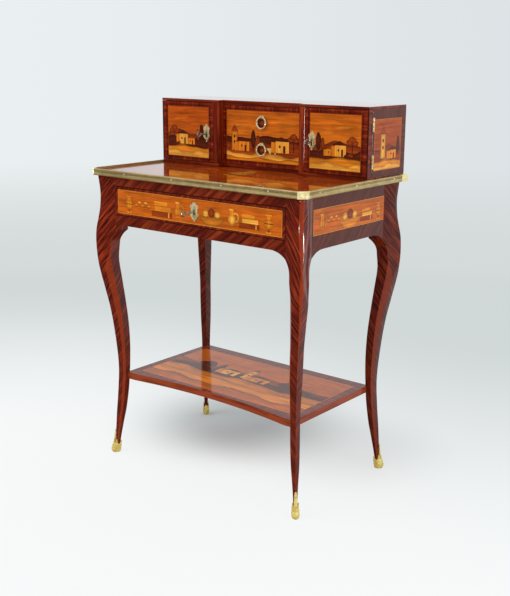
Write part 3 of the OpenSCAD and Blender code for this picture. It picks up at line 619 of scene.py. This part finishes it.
def gilding(name, light, dark, roughness, metallic=0.6, drawn=0.0, key=None):
    # worn gilt: soft clouds and specks, lines drawn along a moulding, and painted light and shade: lighter
    # where the metal faces up, darker where it faces down
    finish = Finish(name, Metallic=metallic)
    cloud = finish.noise(finish.place, 42.0, 4.0, 0.6)
    spots = finish.noise(finish.place, 160.0, 2.0, 0.5)
    lines = finish.noise(finish.stretch((14, 14, 900)), 1.0, 2.0, 0.5)
    up = finish.split(finish.facing)[2]
    tone = cloud * (0.6 - drawn * 0.3) + spots * (0.4 - drawn * 0.3) + lines * (drawn * 0.6)
    # painted light and shade from the facing: upward faces lighter, downward faces darker
    tone = tone.rise(0.36, 0.6) * (0.75 - drawn * 0.3) + up.rise(-0.45, 0.6) * (0.25 + drawn * 0.3)
    colour = tone.mix(linear(*dark), linear(*light))
    # painted shade: the keyhole and a darker round about it
    if key:
        middle = middleOf(key)
        for wide, high, shade, share in keyholeSpots:
            across = (finish.x - middle[0]) * (1000.0 / wide)
            upward = (finish.z - middle[2] + keyholeDrop) * (1000.0 / high)
            inside = reachOf(across, upward).rise(0.85, 1.1, share, 0.0)
            colour = inside.mix(colour, shade)
    finish.out("Base Color", colour)
    finish.out("Roughness", spots * 0.2 + cloud * 0.12 + (roughness - 0.16))
    return finish.bump(spots * (1 - drawn) + lines * drawn, 0.00003)


plated = ((255, 244, 198), (206, 180, 116), 0.26, 0.42)
finishes = {
    "legs": chevronVeneer("legVeneer", 1.15),
    # painted shade: a darker copy of the leg veneer for the back legs, standing in for the shade under the
    # desk
    "legsBackPaintedShade": chevronVeneer("legVeneerBackPaintedShade", 1.15, 0.72),
    "rail": veneer("railVeneer", "x", (0, 38, 0)),
    # painted shade: a darker copy of the rail veneer for the bottom rail
    "railLowPaintedShade": veneer("railLowVeneerPaintedShade", "x", (0, 38, 0), shade=0.7),
    "cabinet": veneer("cabinetVeneer", "x", coarse=0.8, shade=0.8),
    "upright": veneer("uprightVeneer", "z", coarse=0.8),
    "inside": plainWood("oakAlongX", "x"),
    "insideY": plainWood("oakAlongY", "y"),
    "rim": gilding("rimBronze", (232, 208, 146), (138, 114, 64), 0.34, 0.6, 0.8),
    "bronze": gilding("sabotBronze", (255, 242, 150), (224, 178, 84), 0.28, 0.3),
    "plate": gilding("plateBrass", *plated),
    # painted light: a brighter, less metallic copy of the plate brass for the corner pieces, standing in for
    # the bright reflection they show
    "corner": gilding("cornerBrassPaintedLight", (255, 244, 186), (246, 218, 150), 0.26, 0.25),
    "plateLeft": gilding("plateBrassLeft", *plated, key="door_left_key"),
    "plateRight": gilding("plateBrassRight", *plated, key="door_right_key"),
    "plateDrawer": gilding("plateBrassDrawer", *plated, key="writing_drawer_key"),
    "key": gilding("keySteel", (190, 184, 166), (92, 84, 70), 0.3, 0.7),
    "nail": gilding("nailBrass", (255, 250, 224), (250, 232, 186), 0.24, 0.1),
    "iron": gilding("lockIron", (126, 122, 116), (60, 56, 52), 0.5),
}
print("wood and metal ready")


# Pieces

boardShape = {
    "merge": 2e-6,      # m between corners that are one
    "flat": 0.6,        # degrees between faces that are one
    "sunk": 0.0005,     # m from a plate's border down to its middle
    "forward": 0.95,    # how squarely a plate's front looks forwards
    # angles in radians between the strips of a rounded face, and at an edge with a single face
    "curved": (0.002, 0.3), "open": 1.5,
    "edgeAngle": 32,    # degrees from which an edge is rounded
    "wideEdge": 0.001,  # m from which a rounded edge has three steps instead of two
}


def finishPiece(name, bm, material, node, bevel=0.0, smooth=True):
    mesh = bpy.data.meshes.new(name)
    bm.normal_update()
    bm.to_mesh(mesh)
    bm.free()
    piece = bpy.data.objects.new(name, mesh)
    bpy.context.scene.collection.objects.link(piece)
    mesh.materials.append(material)
    if smooth:
        mesh.polygons.foreach_set("use_smooth", [True] * len(mesh.polygons))
    if bevel:
        edge = piece.modifiers.new("edges", "BEVEL")
        edge.width = bevel
        edge.segments = 3 if bevel > boardShape["wideEdge"] else 2
        edge.limit_method = "ANGLE"
        edge.angle_limit = math.radians(boardShape["edgeAngle"])
    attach(piece, bodyOfNode[node])
    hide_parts(node)


def soften(node, material, bevel, border=0.0):
    # a copy of a CAD piece with merged faces and fine rounded edges; a border leaves its front face sunk
    bm = bmesh.new()
    bm.from_mesh(nodes[node].data)
    bmesh.ops.remove_doubles(bm, verts=bm.verts, dist=boardShape["merge"])
    bmesh.ops.dissolve_limit(bm, angle_limit=math.radians(boardShape["flat"]), verts=bm.verts, edges=bm.edges)
    if border:
        bm.normal_update()
        front = [face for face in bm.faces if face.normal.y < -boardShape["forward"]]
        bmesh.ops.inset_region(bm, faces=front, thickness=border, depth=-boardShape["sunk"],
                               use_boundary=True, use_even_offset=True)
    low, high = boardShape["curved"]
    for face in bm.faces:
        # a plane with sharp or level edges all round stays flat; curved strips are smoothed
        angles = [edge.calc_face_angle(boardShape["open"]) for edge in face.edges]
        face.smooth = any(low < angle < high for angle in angles)
    finishPiece(node + "Dressed", bm, material, node, bevel, smooth=False)


# Legs: one rounded section carried up through the stations of the cabriole line
legRun = {
    "outer": [(0, -2.4), (30, -4.6), (60, -6.9), (109, -9.4), (171, -13.3), (240, -15.7), (326, -10.8),
              (394, -3.6), (445, 4.8), (510, 16), (556, 20), (596, 19.4), (630, 14.6), (654, 11.4),
              (690, 10), (734, 13)],
    "inner": [(0, -12.4), (40, -16.4), (87, -23), (128, -29), (190, -34.6), (280, -38), (350, -36.8),
              (412, -32.5), (475, -26.8), (523, -22.8), (561, -25)],
    "cut": [(0, 4), (190, 5), (293, 6), (357, 8), (421, 11), (549, 12), (589, 2), (596.2, -6), (734, -6)],
    "cant": [(0, 0.6), (330, 0.7), (380, 1.4), (430, 2.4), (480, 4), (516, 5.6), (544, 7), (600, 7.5),
             (734, 7.5)],
    "face": [(0, 14), (445, 10), (480, 7), (510, 5.2), (535, 3), (556, 1.4), (575, 0.6), (590, 0.4),
             (734, 0.4)],
    "facet": [(0, 0), (500, 0), (545, 0.45), (690, 0.45), (734, 0.3)],
}
legShape = {
    "foot": 8.0, "top": 734.0,      # heights in mm, like all below but the turns
    "post": 40.0,                   # square part behind the frieze
    "ear": (561.0, 596.2), "earStart": 25.0, "earLong": 57.0, "earHigh": 52.0,
    "lean": 18.0, "facet": 27.0,    # turns in degrees of the inner faces and of the facets beside the cant
    "round": 1.0, "columns": 56,
    "steps": (48, 8, 18),           # rings below the ear, on it and above it
}


def runValue(run, z):
    i = 0
    while i < len(run) - 2 and z >= run[i + 1][0]:
        i += 1

    def slope(k):
        a, b = max(k - 1, 0), min(k + 1, len(run) - 1)
        return (run[b][1] - run[a][1]) / (run[b][0] - run[a][0])
    h = run[i + 1][0] - run[i][0]
    t = min(max((z - run[i][0]) / h, 0.0), 1.0)
    return (run[i][1] * (1 + 2 * t) * (1 - t) ** 2 + run[i + 1][1] * t * t * (3 - 2 * t)
            + h * slope(i) * t * (1 - t) ** 2 - h * slope(i + 1) * t * t * (1 - t))


def innerLine(z):
    low, high = legShape["ear"]
    if z >= high:
        return -legShape["post"]
    if z >= low:
        part = 1 - math.sqrt(max(0.0, 1 - ((z - low) / legShape["earHigh"]) ** 2))
        return max(-legShape["post"], -legShape["earStart"] - legShape["earLong"] * part)
    return runValue(legRun["inner"], z)


def legSides(z, grow=0.0, growIn=0.0):
    # half-planes (direction, reach in mm) that bound the leg at one height, from the frieze's corner outwards
    e = runValue(legRun["outer"], z) + grow
    i = innerLine(z) - growIn
    side = (e - i - runValue(legRun["cut"], z) - 0.3 * (grow + growIn)) / math.sqrt(2)
    lean = math.radians(legShape["lean"])
    face = runValue(legRun["face"], z) * math.cos(lean) + legShape["post"] * math.sin(lean) + grow
    cant = runValue(legRun["cant"], z)
    turn = math.radians(legShape["facet"])
    facet = e * math.cos(turn) + (e - cant) * math.sin(turn) - runValue(legRun["facet"], z)
    return [(0, e), (legShape["facet"], facet), (45, (2 * e - cant) / math.sqrt(2)),
            (90 - legShape["facet"], facet), (90, e), (90 + legShape["lean"], face), (135, side),
            (180, -i), (270, -i), (315, side), (360 - legShape["lean"], face)]


def cutOutline(sides):
    # corners of the region inside every half-plane
    far = 200.0
    points = [(-far, -far), (far, -far), (far, far), (-far, far)]
    for turn, reach in sides:
        nx, ny = math.cos(math.radians(turn)), math.sin(math.radians(turn))
        kept = []
        for j, here in enumerate(points):
            there = points[(j + 1) % len(points)]
            a = here[0] * nx + here[1] * ny - reach
            b = there[0] * nx + there[1] * ny - reach
            if a <= 0:
                kept.append(here)
            if (a < 0 < b) or (b < 0 < a):
                t = a / (a - b)
                kept.append((here[0] + (there[0] - here[0]) * t, here[1] + (there[1] - here[1]) * t))
        points = kept
    return points


def roundOutline(sides):
    # one point for each of a full turn of directions: corners become arcs, flats stay flat
    radius, count = legShape["round"], legShape["columns"]
    points = cutOutline([(turn, reach - radius) for turn, reach in sides])
    outline = []
    for j in range(count):
        turn = (j + 0.5) * 2 * math.pi / count
        nx, ny = math.cos(turn), math.sin(turn)
        far = max(points, key=lambda p: p[0] * nx + p[1] * ny)
        outline.append((far[0] + radius * nx, far[1] + radius * ny))
    return outline


friezeCorner = {"x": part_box("frieze_top_rail")[1][0] + legShape["post"] / 1000,
                "front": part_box("frieze_top_rail")[0][1], "back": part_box("frieze_back")[1][1]}


def cornerPoint(sx, sy, u, v, z):
    # a place given in mm outwards from the frieze's corner
    y = friezeCorner["front"] - v / 1000 if sy < 0 else friezeCorner["back"] + v / 1000
    return Vector((sx * (friezeCorner["x"] + u / 1000), y, z / 1000))


def loft(bm, rings):
    # carries a circle through a run of rings by extrusion, then fills both ends
    ring = bmesh.ops.create_circle(bm, segments=len(rings[0]), radius=1.0)["verts"]
    first = edges = list(bm.edges)
    for vert, point in zip(ring, rings[0]):
        vert.co = point
    for points in rings[1:]:
        made = bmesh.ops.extrude_edge_only(bm, edges=edges)["geom"]
        fresh = {item for item in made if isinstance(item, bmesh.types.BMVert)}
        edges = [item for item in made if isinstance(item, bmesh.types.BMEdge) and set(item.verts) <= fresh]
        ring = [next(e.other_vert(v) for e in v.link_edges if e.other_vert(v) in fresh) for v in ring]
        for vert, point in zip(ring, points):
            vert.co = point
    bmesh.ops.edgeloop_fill(bm, edges=first)
    bmesh.ops.edgeloop_fill(bm, edges=edges)
    bmesh.ops.recalc_face_normals(bm, faces=bm.faces)


corners = {"front_left": (-1, -1), "front_right": (1, -1), "back_left": (-1, 1), "back_right": (1, 1)}
earLow, earTop = legShape["ear"]
bounds = [legShape["foot"], earLow, earTop, legShape["top"]]
legLevels = [low + (high - low) * j / steps for low, high, steps in zip(bounds, bounds[1:], legShape["steps"])
             for j in range(steps)] + [legShape["top"]]
for word, (sx, sy) in corners.items():
    bm = bmesh.new()
    loft(bm, [[cornerPoint(sx, sy, u, v, z) for u, v in roundOutline(legSides(z))] for z in legLevels])
    finishPiece("leg_" + word + "_shaped", bm, finishes["legs" if sy < 0 else "legsBackPaintedShade"], "leg_" + word)
print("legs shaped")


# Metal shoes: a thin cup whose rim rises into leaves, with ribs and veins chased in it
shoe = {
    "wall": 2.0, "gap": 0.25, "floor": 8.0,     # mm; the leg stands on the floor
    "columns": 96, "rows": 34,
    # how far the cup bulges at a height, at its outer and its inner corner
    "toe": [(0, 1.4), (8, 4.6), (18, 3), (30, 1), (45, 0), (80, 0)],
    "heel": [(0, -0.4), (8, 0.6), (18, 0.4), (30, 0), (80, 0)],
    # how high the rim is at a turn in degrees away from the outer corner
    "rim": [(0, 65), (9, 64), (17, 60), (24, 51), (32, 34), (42, 28), (56, 37), (72, 36), (92, 27),
            (120, 24), (150, 26), (165, 30), (180, 32)],
    "ribTurn": 21, "ribHigh": 0.9, "veinHigh": 0.5, "leafHigh": 62,
    "veinRates": (0.42, 0.09),      # per mm upwards and per degree round
    # ridges: middle, half width and height in mm, the lip's first two as shares of the column
    "lip": (0.93, 0.08, 0.7), "sole": (4, 2.5, 0.5), "collar": (21, 2.6, 0.8), "groove": (26, 2.6, -0.6),
    "depth": 0.62, "most": 1.1, "squareness": 16,
    # the inside's way back down in shares of the column, and by how many mm it lies lower
    "inside": (0.9, 0.5, 0.0), "lower": 0.4,
}


def shoeReach(sides, middle, turn):
    # rounded reach of a section from its middle in one direction
    dx, dy = math.cos(turn), math.sin(turn)
    total = 0.0
    for angle, reach in sides:
        nx, ny = math.cos(math.radians(angle)), math.sin(math.radians(angle))
        along = dx * nx + dy * ny
        if along > 0.02:
            total += (along / max(reach - middle * (nx + ny), 0.5)) ** shoe["squareness"]
    return total ** (-1 / shoe["squareness"])


def shoePoint(sx, sy, z, turn, extra, chase):
    # extra is 1 on the outside of the cup and 0 on its inside
    grow = shoe["gap"] + extra * shoe["wall"]
    sides = legSides(z, grow + extra * runValue(shoe["toe"], z), grow + extra * runValue(shoe["heel"], z))
    middle = (runValue(legRun["outer"], z) + innerLine(z)) / 2
    reach = shoeReach(sides, middle, turn) + chase
    return cornerPoint(sx, sy, middle + reach * math.cos(turn), middle + reach * math.sin(turn), z)


def ridge(value, middle, halfWide, high):
    return max(0.0, 1 - abs(value - middle) / halfWide) * high


def chaseHeight(z, share, away):
    # ribs, veins and ridges outwards, at a height in mm that is a share of its column's
    if share > 0.999:
        return 0.0
    rib = 0.5 + 0.5 * math.cos(math.radians(away * 360 / shoe["ribTurn"]))
    climb, sweep = shoe["veinRates"]
    vein = abs(math.sin(z * climb + away * sweep)) ** 0.7
    swell = math.sin(math.pi * min(1.0, z / shoe["leafHigh"]))
    leaf = swell * (shoe["ribHigh"] * rib + shoe["veinHigh"] * vein) - 0.5
    collar = ridge(z, *shoe["collar"]) + ridge(z, *shoe["groove"])
    chase = (leaf * min(1.0, z / shoe["floor"]) + ridge(share, *shoe["lip"]) + ridge(z, *shoe["sole"])
             + collar * (1 if away < 80 else 0.6))
    return min(chase * shoe["depth"], shoe["most"])


shoeColumns = []
for column in range(shoe["columns"]):
    turn = 2 * math.pi * column / shoe["columns"]
    away = abs((math.degrees(turn) - 45 + 180) % 360 - 180)
    shoeColumns.append((turn, away, runValue(shoe["rim"], away)))
for word, (sx, sy) in corners.items():
    rings = []
    for row in range(shoe["rows"] + 1):
        share = row / shoe["rows"]
        rings.append([shoePoint(sx, sy, top * share, turn, 1.0, chaseHeight(top * share, share, away))
                      for turn, away, top in shoeColumns])
    for share in shoe["inside"]:
        # back down inside the cup to its floor
        rings.append([shoePoint(sx, sy, max(shoe["floor"], top * share - shoe["lower"]), turn, 0.0, 0.0)
                      for turn, away, top in shoeColumns])
    bm = bmesh.new()
    loft(bm, rings)
    finishPiece("sabot_" + word + "_shaped", bm, finishes["bronze"], "sabot_" + word)
print("shoes shaped")


# Boards and fittings that keep their CAD shape, with softened edges

# after its boards each picture has its borders in mm, as one looks at it: left, right, below and above
panels = {
    "doorLeft": panel("doorLeftPicture", "front", ["door_left"], (20, 16, 11.3, 13),
                      lambda pic: doorScene(pic, -1, 2.0, "satinDeep", "satin"),
                      line="russet", outer=(88, 75, 0.8), inner=7.0),
    "doorRight": panel("doorRightPicture", "front", ["door_right"], (16, 20, 11.3, 13),
                       lambda pic: doorScene(pic, 1, 0.0, "dusk", "glow"),
                       line="russet", outer=(88, 75, 0.8), inner=7.0),
    "middle": panel("middlePicture", "front", ["upper_drawer_front", "lower_drawer_front"],
                    (10.9, 10.9, 11.4, 11.5), middleScene, line="russet", inner=6.0),
    "endRight": panel("endRightPicture", "right", ["cabinet_end_right"], (9, 20, 15, 24),
                      lambda pic: sideScene(pic, 1), line="amber", borders=sideTones),
    "endLeft": panel("endLeftPicture", "left", ["cabinet_end_left"], (20, 9, 15, 24),
                     lambda pic: sideScene(pic, -1), line="amber", borders=sideTones),
    "drawer": panel("drawerPicture", "front", ["writing_drawer_front"], (10.4, 10.4, 7.4, 9), drawerScene,
                    line="lemon", borderTurn=52, outer=(261.4, 35.7, 0.8)),
    # the friezes' pictures run on behind the back legs' posts
    "friezeRight": panel("friezeRightPicture", "right", ["frieze_side_right"], (6.3, -4.5, 51.25, 33),
                         friezeSideScene, line="lemon", borders=sideTones, borderTurn=52),
    "friezeLeft": panel("friezeLeftPicture", "left", ["frieze_side_left"], (-4.5, 6.3, 51.25, 33),
                        friezeSideScene, line="lemon", borders=sideTones, borderTurn=52),
    "shelf": panel("shelfPicture", "top", ["lower_shelf"], (23, 23, 33.5, 33.5), shelfScene, line="amber",
                   edges=shelfTones),
    "top": panel("topPicture", "top", ["table_top"], (15, 15, 1.5, 27.5), topScene),
}
print("pictures ready")

dressing = {
    "frieze_top_rail": finishes["rail"], "frieze_bottom_rail": finishes["railLowPaintedShade"],
    "frieze_back": finishes["rail"],
    "frieze_side_left": panels["friezeLeft"], "frieze_side_right": panels["friezeRight"],
    "table_top": panels["top"], "lower_shelf": panels["shelf"],
    "cabinet_base": finishes["cabinet"], "cabinet_top": finishes["cabinet"],
    "middle_rail": finishes["cabinet"],
    "cabinet_end_left": panels["endLeft"], "cabinet_end_right": panels["endRight"],
    "partition_left": finishes["upright"], "partition_right": finishes["upright"],
    "cabinet_back": finishes["cabinet"], "drawer_divider": finishes["inside"],
    "drawer_runners": finishes["insideY"],
    "door_left": panels["doorLeft"], "door_right": panels["doorRight"],
    "writing_drawer_front": panels["drawer"], "writing_drawer_sides": finishes["insideY"],
    "writing_drawer_back": finishes["inside"], "writing_drawer_bottom": finishes["inside"],
    "upper_drawer_front": panels["middle"], "lower_drawer_front": panels["middle"],
    "upper_drawer_box": finishes["inside"], "lower_drawer_box": finishes["inside"],
}
# widths in metres of the rounded edges
edgeOf = {"partition_left": 0.0015, "partition_right": 0.0015, "door_left": 0.001, "door_right": 0.001,
          "upper_drawer_front": 0.0003, "lower_drawer_front": 0.0003}
edgeWidth = {"board": 0.0006, "fitting": 0.00015, "plateBorder": 0.0011}
for node, material in dressing.items():
    soften(node, material, edgeOf.get(node, edgeWidth["board"]))

fittings = {
    "rim": ["rim_front", "rim_left", "rim_right"],
    "nail": ["rim_nails"],
    "corner": ["rim_corner_pieces"],
    "plate": ["cabinet_hinge_leaves", "door_left_hinge_leaves", "door_right_hinge_leaves",
              "upper_ring_stud", "lower_ring_stud", "upper_ring", "lower_ring"],
    "plateLeft": ["door_left_escutcheon"], "plateRight": ["door_right_escutcheon"],
    "plateDrawer": ["writing_drawer_escutcheon"],
    "iron": ["door_left_bolt", "door_right_bolt", "writing_drawer_bolt",
             "door_left_lock", "door_right_lock", "writing_drawer_lock"],
    "key": ["door_left_key", "door_right_key", "writing_drawer_key"],
}
for word, names in fittings.items():
    for node in names:
        border = edgeWidth["plateBorder"] if "escutcheon" in node else 0.0
        soften(node, finishes[word], edgeWidth["fitting"], border)
print("boards and fittings dressed")


# Studio: pale paper that fades into the air behind; polished surfaces show it dark towards the front
studio = {
    # the paper near and further off, and the air behind it to the left and right of the picture
    "near": (0.94, 0.955, 0.95), "middle": (0.66, 0.70, 0.70),
    "left": (0.825, 0.863, 0.879), "right": (0.733, 0.768, 0.791), "halfView": 0.27,
    "paper": (0.86, 0.905, 0.92), "paperSize": 40,
    "ambient": (0.80, 0.805, 0.81),
    # what polished surfaces show, and the way they show it bright
    "seenAir": (0.86, 0.87, 0.88), "seenPaper": (0.41, 0.42, 0.42), "seenDark": (0.045, 0.038, 0.034),
    "brightWay": (0.545, 0.839),
    # middles in metres of the soft shadow under the desk, partly lit and partly painted, and of the lighter
    # painted shadow beside the back right leg
    "shadow": (-0.2, 0.22), "backShadow": (0.16, 0.26),
}


class Air:
    # start of a node tree that is not a piece's material
    def __init__(self, tree):
        tree.nodes.clear()
        self.tree = tree
        self.start = Wire(tree, None)

    def node(self, *given, **named):
        return self.start.node(*given, **named)

    def parts(self, vector):
        item = self.node("ShaderNodeSeparateXYZ", None, {0: vector}).socket.node
        return [Wire(self.tree, out) for out in item.outputs]

    def rayIs(self, word):
        item = self.node("ShaderNodeLightPath").socket.node
        return Wire(self.tree, item.outputs["Is " + word + " Ray"])

    def acrossView(self, x, y):
        turn = math.radians(cameraSettings["turn"])
        side = x * math.cos(turn) + y * math.sin(turn)
        return (side / reachOf(x, y)).rise(-studio["halfView"], studio["halfView"])

    def behind(self, x, y):
        # 1 towards the right and the back, 0 towards the front and the left
        east, north = studio["brightWay"]
        return ((x * east + y * north) / reachOf(x, y).most(0.001)).rise(-0.1, 0.25)

    def paint(self, colour):
        return self.node("ShaderNodeBsdfPrincipled", None, {
            "Base Color": (0, 0, 0, 1), "Roughness": 1.0, "Specular IOR Level": 0.0,
            "Emission Color": colour, "Emission Strength": 1.0})


def addFloor():
    material = bpy.data.materials.new("studioPaper")
    material.use_nodes = True
    air = Air(material.node_tree)
    x, y = air.parts(air.node("ShaderNodeTexCoord", output=3))[:2]
    # colour by distance from the camera and by place across its view
    east, north = x - cameraSettings["place"][0], y - cameraSettings["place"][1]
    away = reachOf(east, north)
    across = air.acrossView(east, north)
    tone = (away + across * 0.8 - 0.4).rise(2.1, 3.9).mix(studio["near"], studio["middle"])
    tone = away.rise(4.4, 10.0).mix(tone, across.mix(studio["left"], studio["right"]))
    # painted shadow: the paper darker about the back right leg
    beside = reachOf(x - studio["backShadow"][0], y - studio["backShadow"][1])
    tone = tone.tint(beside.rise(0.05, 0.32, 0.87, 1.0))
    # lit paper near the desk, even colour further off
    aside = reachOf(x - studio["shadow"][0], y - studio["shadow"][1])
    # painted shadow: the paper's own colour darker under the desk, on top of the shade the lamps cast there
    sheet = air.node("ShaderNodeBsdfPrincipled", None, {
        "Base Color": tone.tint(aside.rise(0.05, 0.4, 0.74, 1.0)).times(studio["paper"]), "Roughness": 1.0,
        "Specular IOR Level": 0.0})
    fading = aside.rise(0.08, 0.42, 0.0, 0.84).most(away.rise(3.4, 4.8))
    seen = air.node("ShaderNodeMixShader", None, {0: fading, 1: sheet, 2: air.paint(tone)})
    # painted shadow in reflections: the paper seen in polished surfaces is darker near the desk
    bright = air.behind(x, y) * aside.rise(0.4, 1.0)
    mirrored = air.paint(bright.mix(studio["seenDark"], studio["seenPaper"]))
    seen = air.node("ShaderNodeMixShader", None, {0: air.rayIs("Glossy"), 1: seen, 2: mirrored})
    end = air.tree.nodes.new("ShaderNodeOutputMaterial")
    air.tree.links.new(seen.socket, end.inputs["Surface"])
    bm = bmesh.new()
    bmesh.ops.create_grid(bm, x_segments=1, y_segments=1, size=studio["paperSize"])
    mesh = bpy.data.meshes.new("studioPaper")
    bm.to_mesh(mesh)
    bm.free()
    mesh.materials.append(material)
    floor = bpy.data.objects.new("studioPaper", mesh)
    bpy.context.scene.collection.objects.link(floor)


def addAir():
    world = bpy.data.worlds.new("studioAir")
    world.use_nodes = True
    bpy.context.scene.world = world
    air = Air(world.node_tree)
    x, y, z = air.parts(air.node("ShaderNodeTexCoord"))
    bright = air.behind(x, y).most(z.rise(0.5, 0.8)) * z.rise(0.15, 0.3, 1.0, 0.56)
    mirrored = bright.mix(studio["seenDark"], studio["seenAir"])
    seen = air.acrossView(x, y).mix(studio["left"], studio["right"])
    colour = air.rayIs("Glossy").mix(studio["ambient"], mirrored)
    colour = air.rayIs("Camera").mix(colour, seen)
    glow = air.node("ShaderNodeBackground", None, {"Color": colour, "Strength": 1.0})
    end = air.tree.nodes.new("ShaderNodeOutputWorld")
    air.tree.links.new(glow.socket, end.inputs["Surface"])


def addLight(name, place, target, size, power, spread=180, mirrored=False):
    # sizes in metres, spread in degrees; a mirrored light shows only in polished surfaces, the others in none
    lamp = bpy.data.lights.new(name, "AREA")
    lamp.shape = "RECTANGLE"
    lamp.size, lamp.size_y = size
    lamp.energy = power
    lamp.spread = math.radians(spread)
    item = bpy.data.objects.new(name, lamp)
    item.matrix_world = Matrix.Translation(place) @ (Vector(target) - Vector(place)).to_track_quat(
        "-Z", "Y").to_matrix().to_4x4()
    item.visible_camera = False
    item.visible_glossy = mirrored
    item.visible_diffuse = not mirrored
    bpy.context.scene.collection.objects.link(item)


lamps = {
    "keyLight": {"place": (-1.8, -2.6, 3.0), "target": (0, 0, 0.5), "size": (3.0, 2.6), "power": 45},
    "sideLight": {"place": (3.0, -0.4, 1.1), "target": (0, 0, 0.6), "size": (1.0, 1.2), "power": 15},
    # narrow beams that light the front right leg's corner and the right partition's edge
    "glintLight": {"place": (1.7, -0.3, 0.75), "target": (0.33, -0.21, 0.63), "size": (0.16, 0.5),
                   "power": 0.2, "spread": 12, "mirrored": True},
    "edgeLight": {"place": (0.55, -1.87, 0.667), "target": (0.0, 0.05, 0.83), "size": (0.5, 0.26),
                  "power": 0.08, "spread": 11, "mirrored": True},
    "topLight": {"place": (0.5, -1.1, 3.3), "target": (0, 0, 0.4), "size": (2.2, 2.2), "power": 16},
}
addFloor()
addAir()
for name, settings in lamps.items():
    addLight(name, **settings)
bpy.context.scene.view_settings.view_transform = "Standard"

print("done")
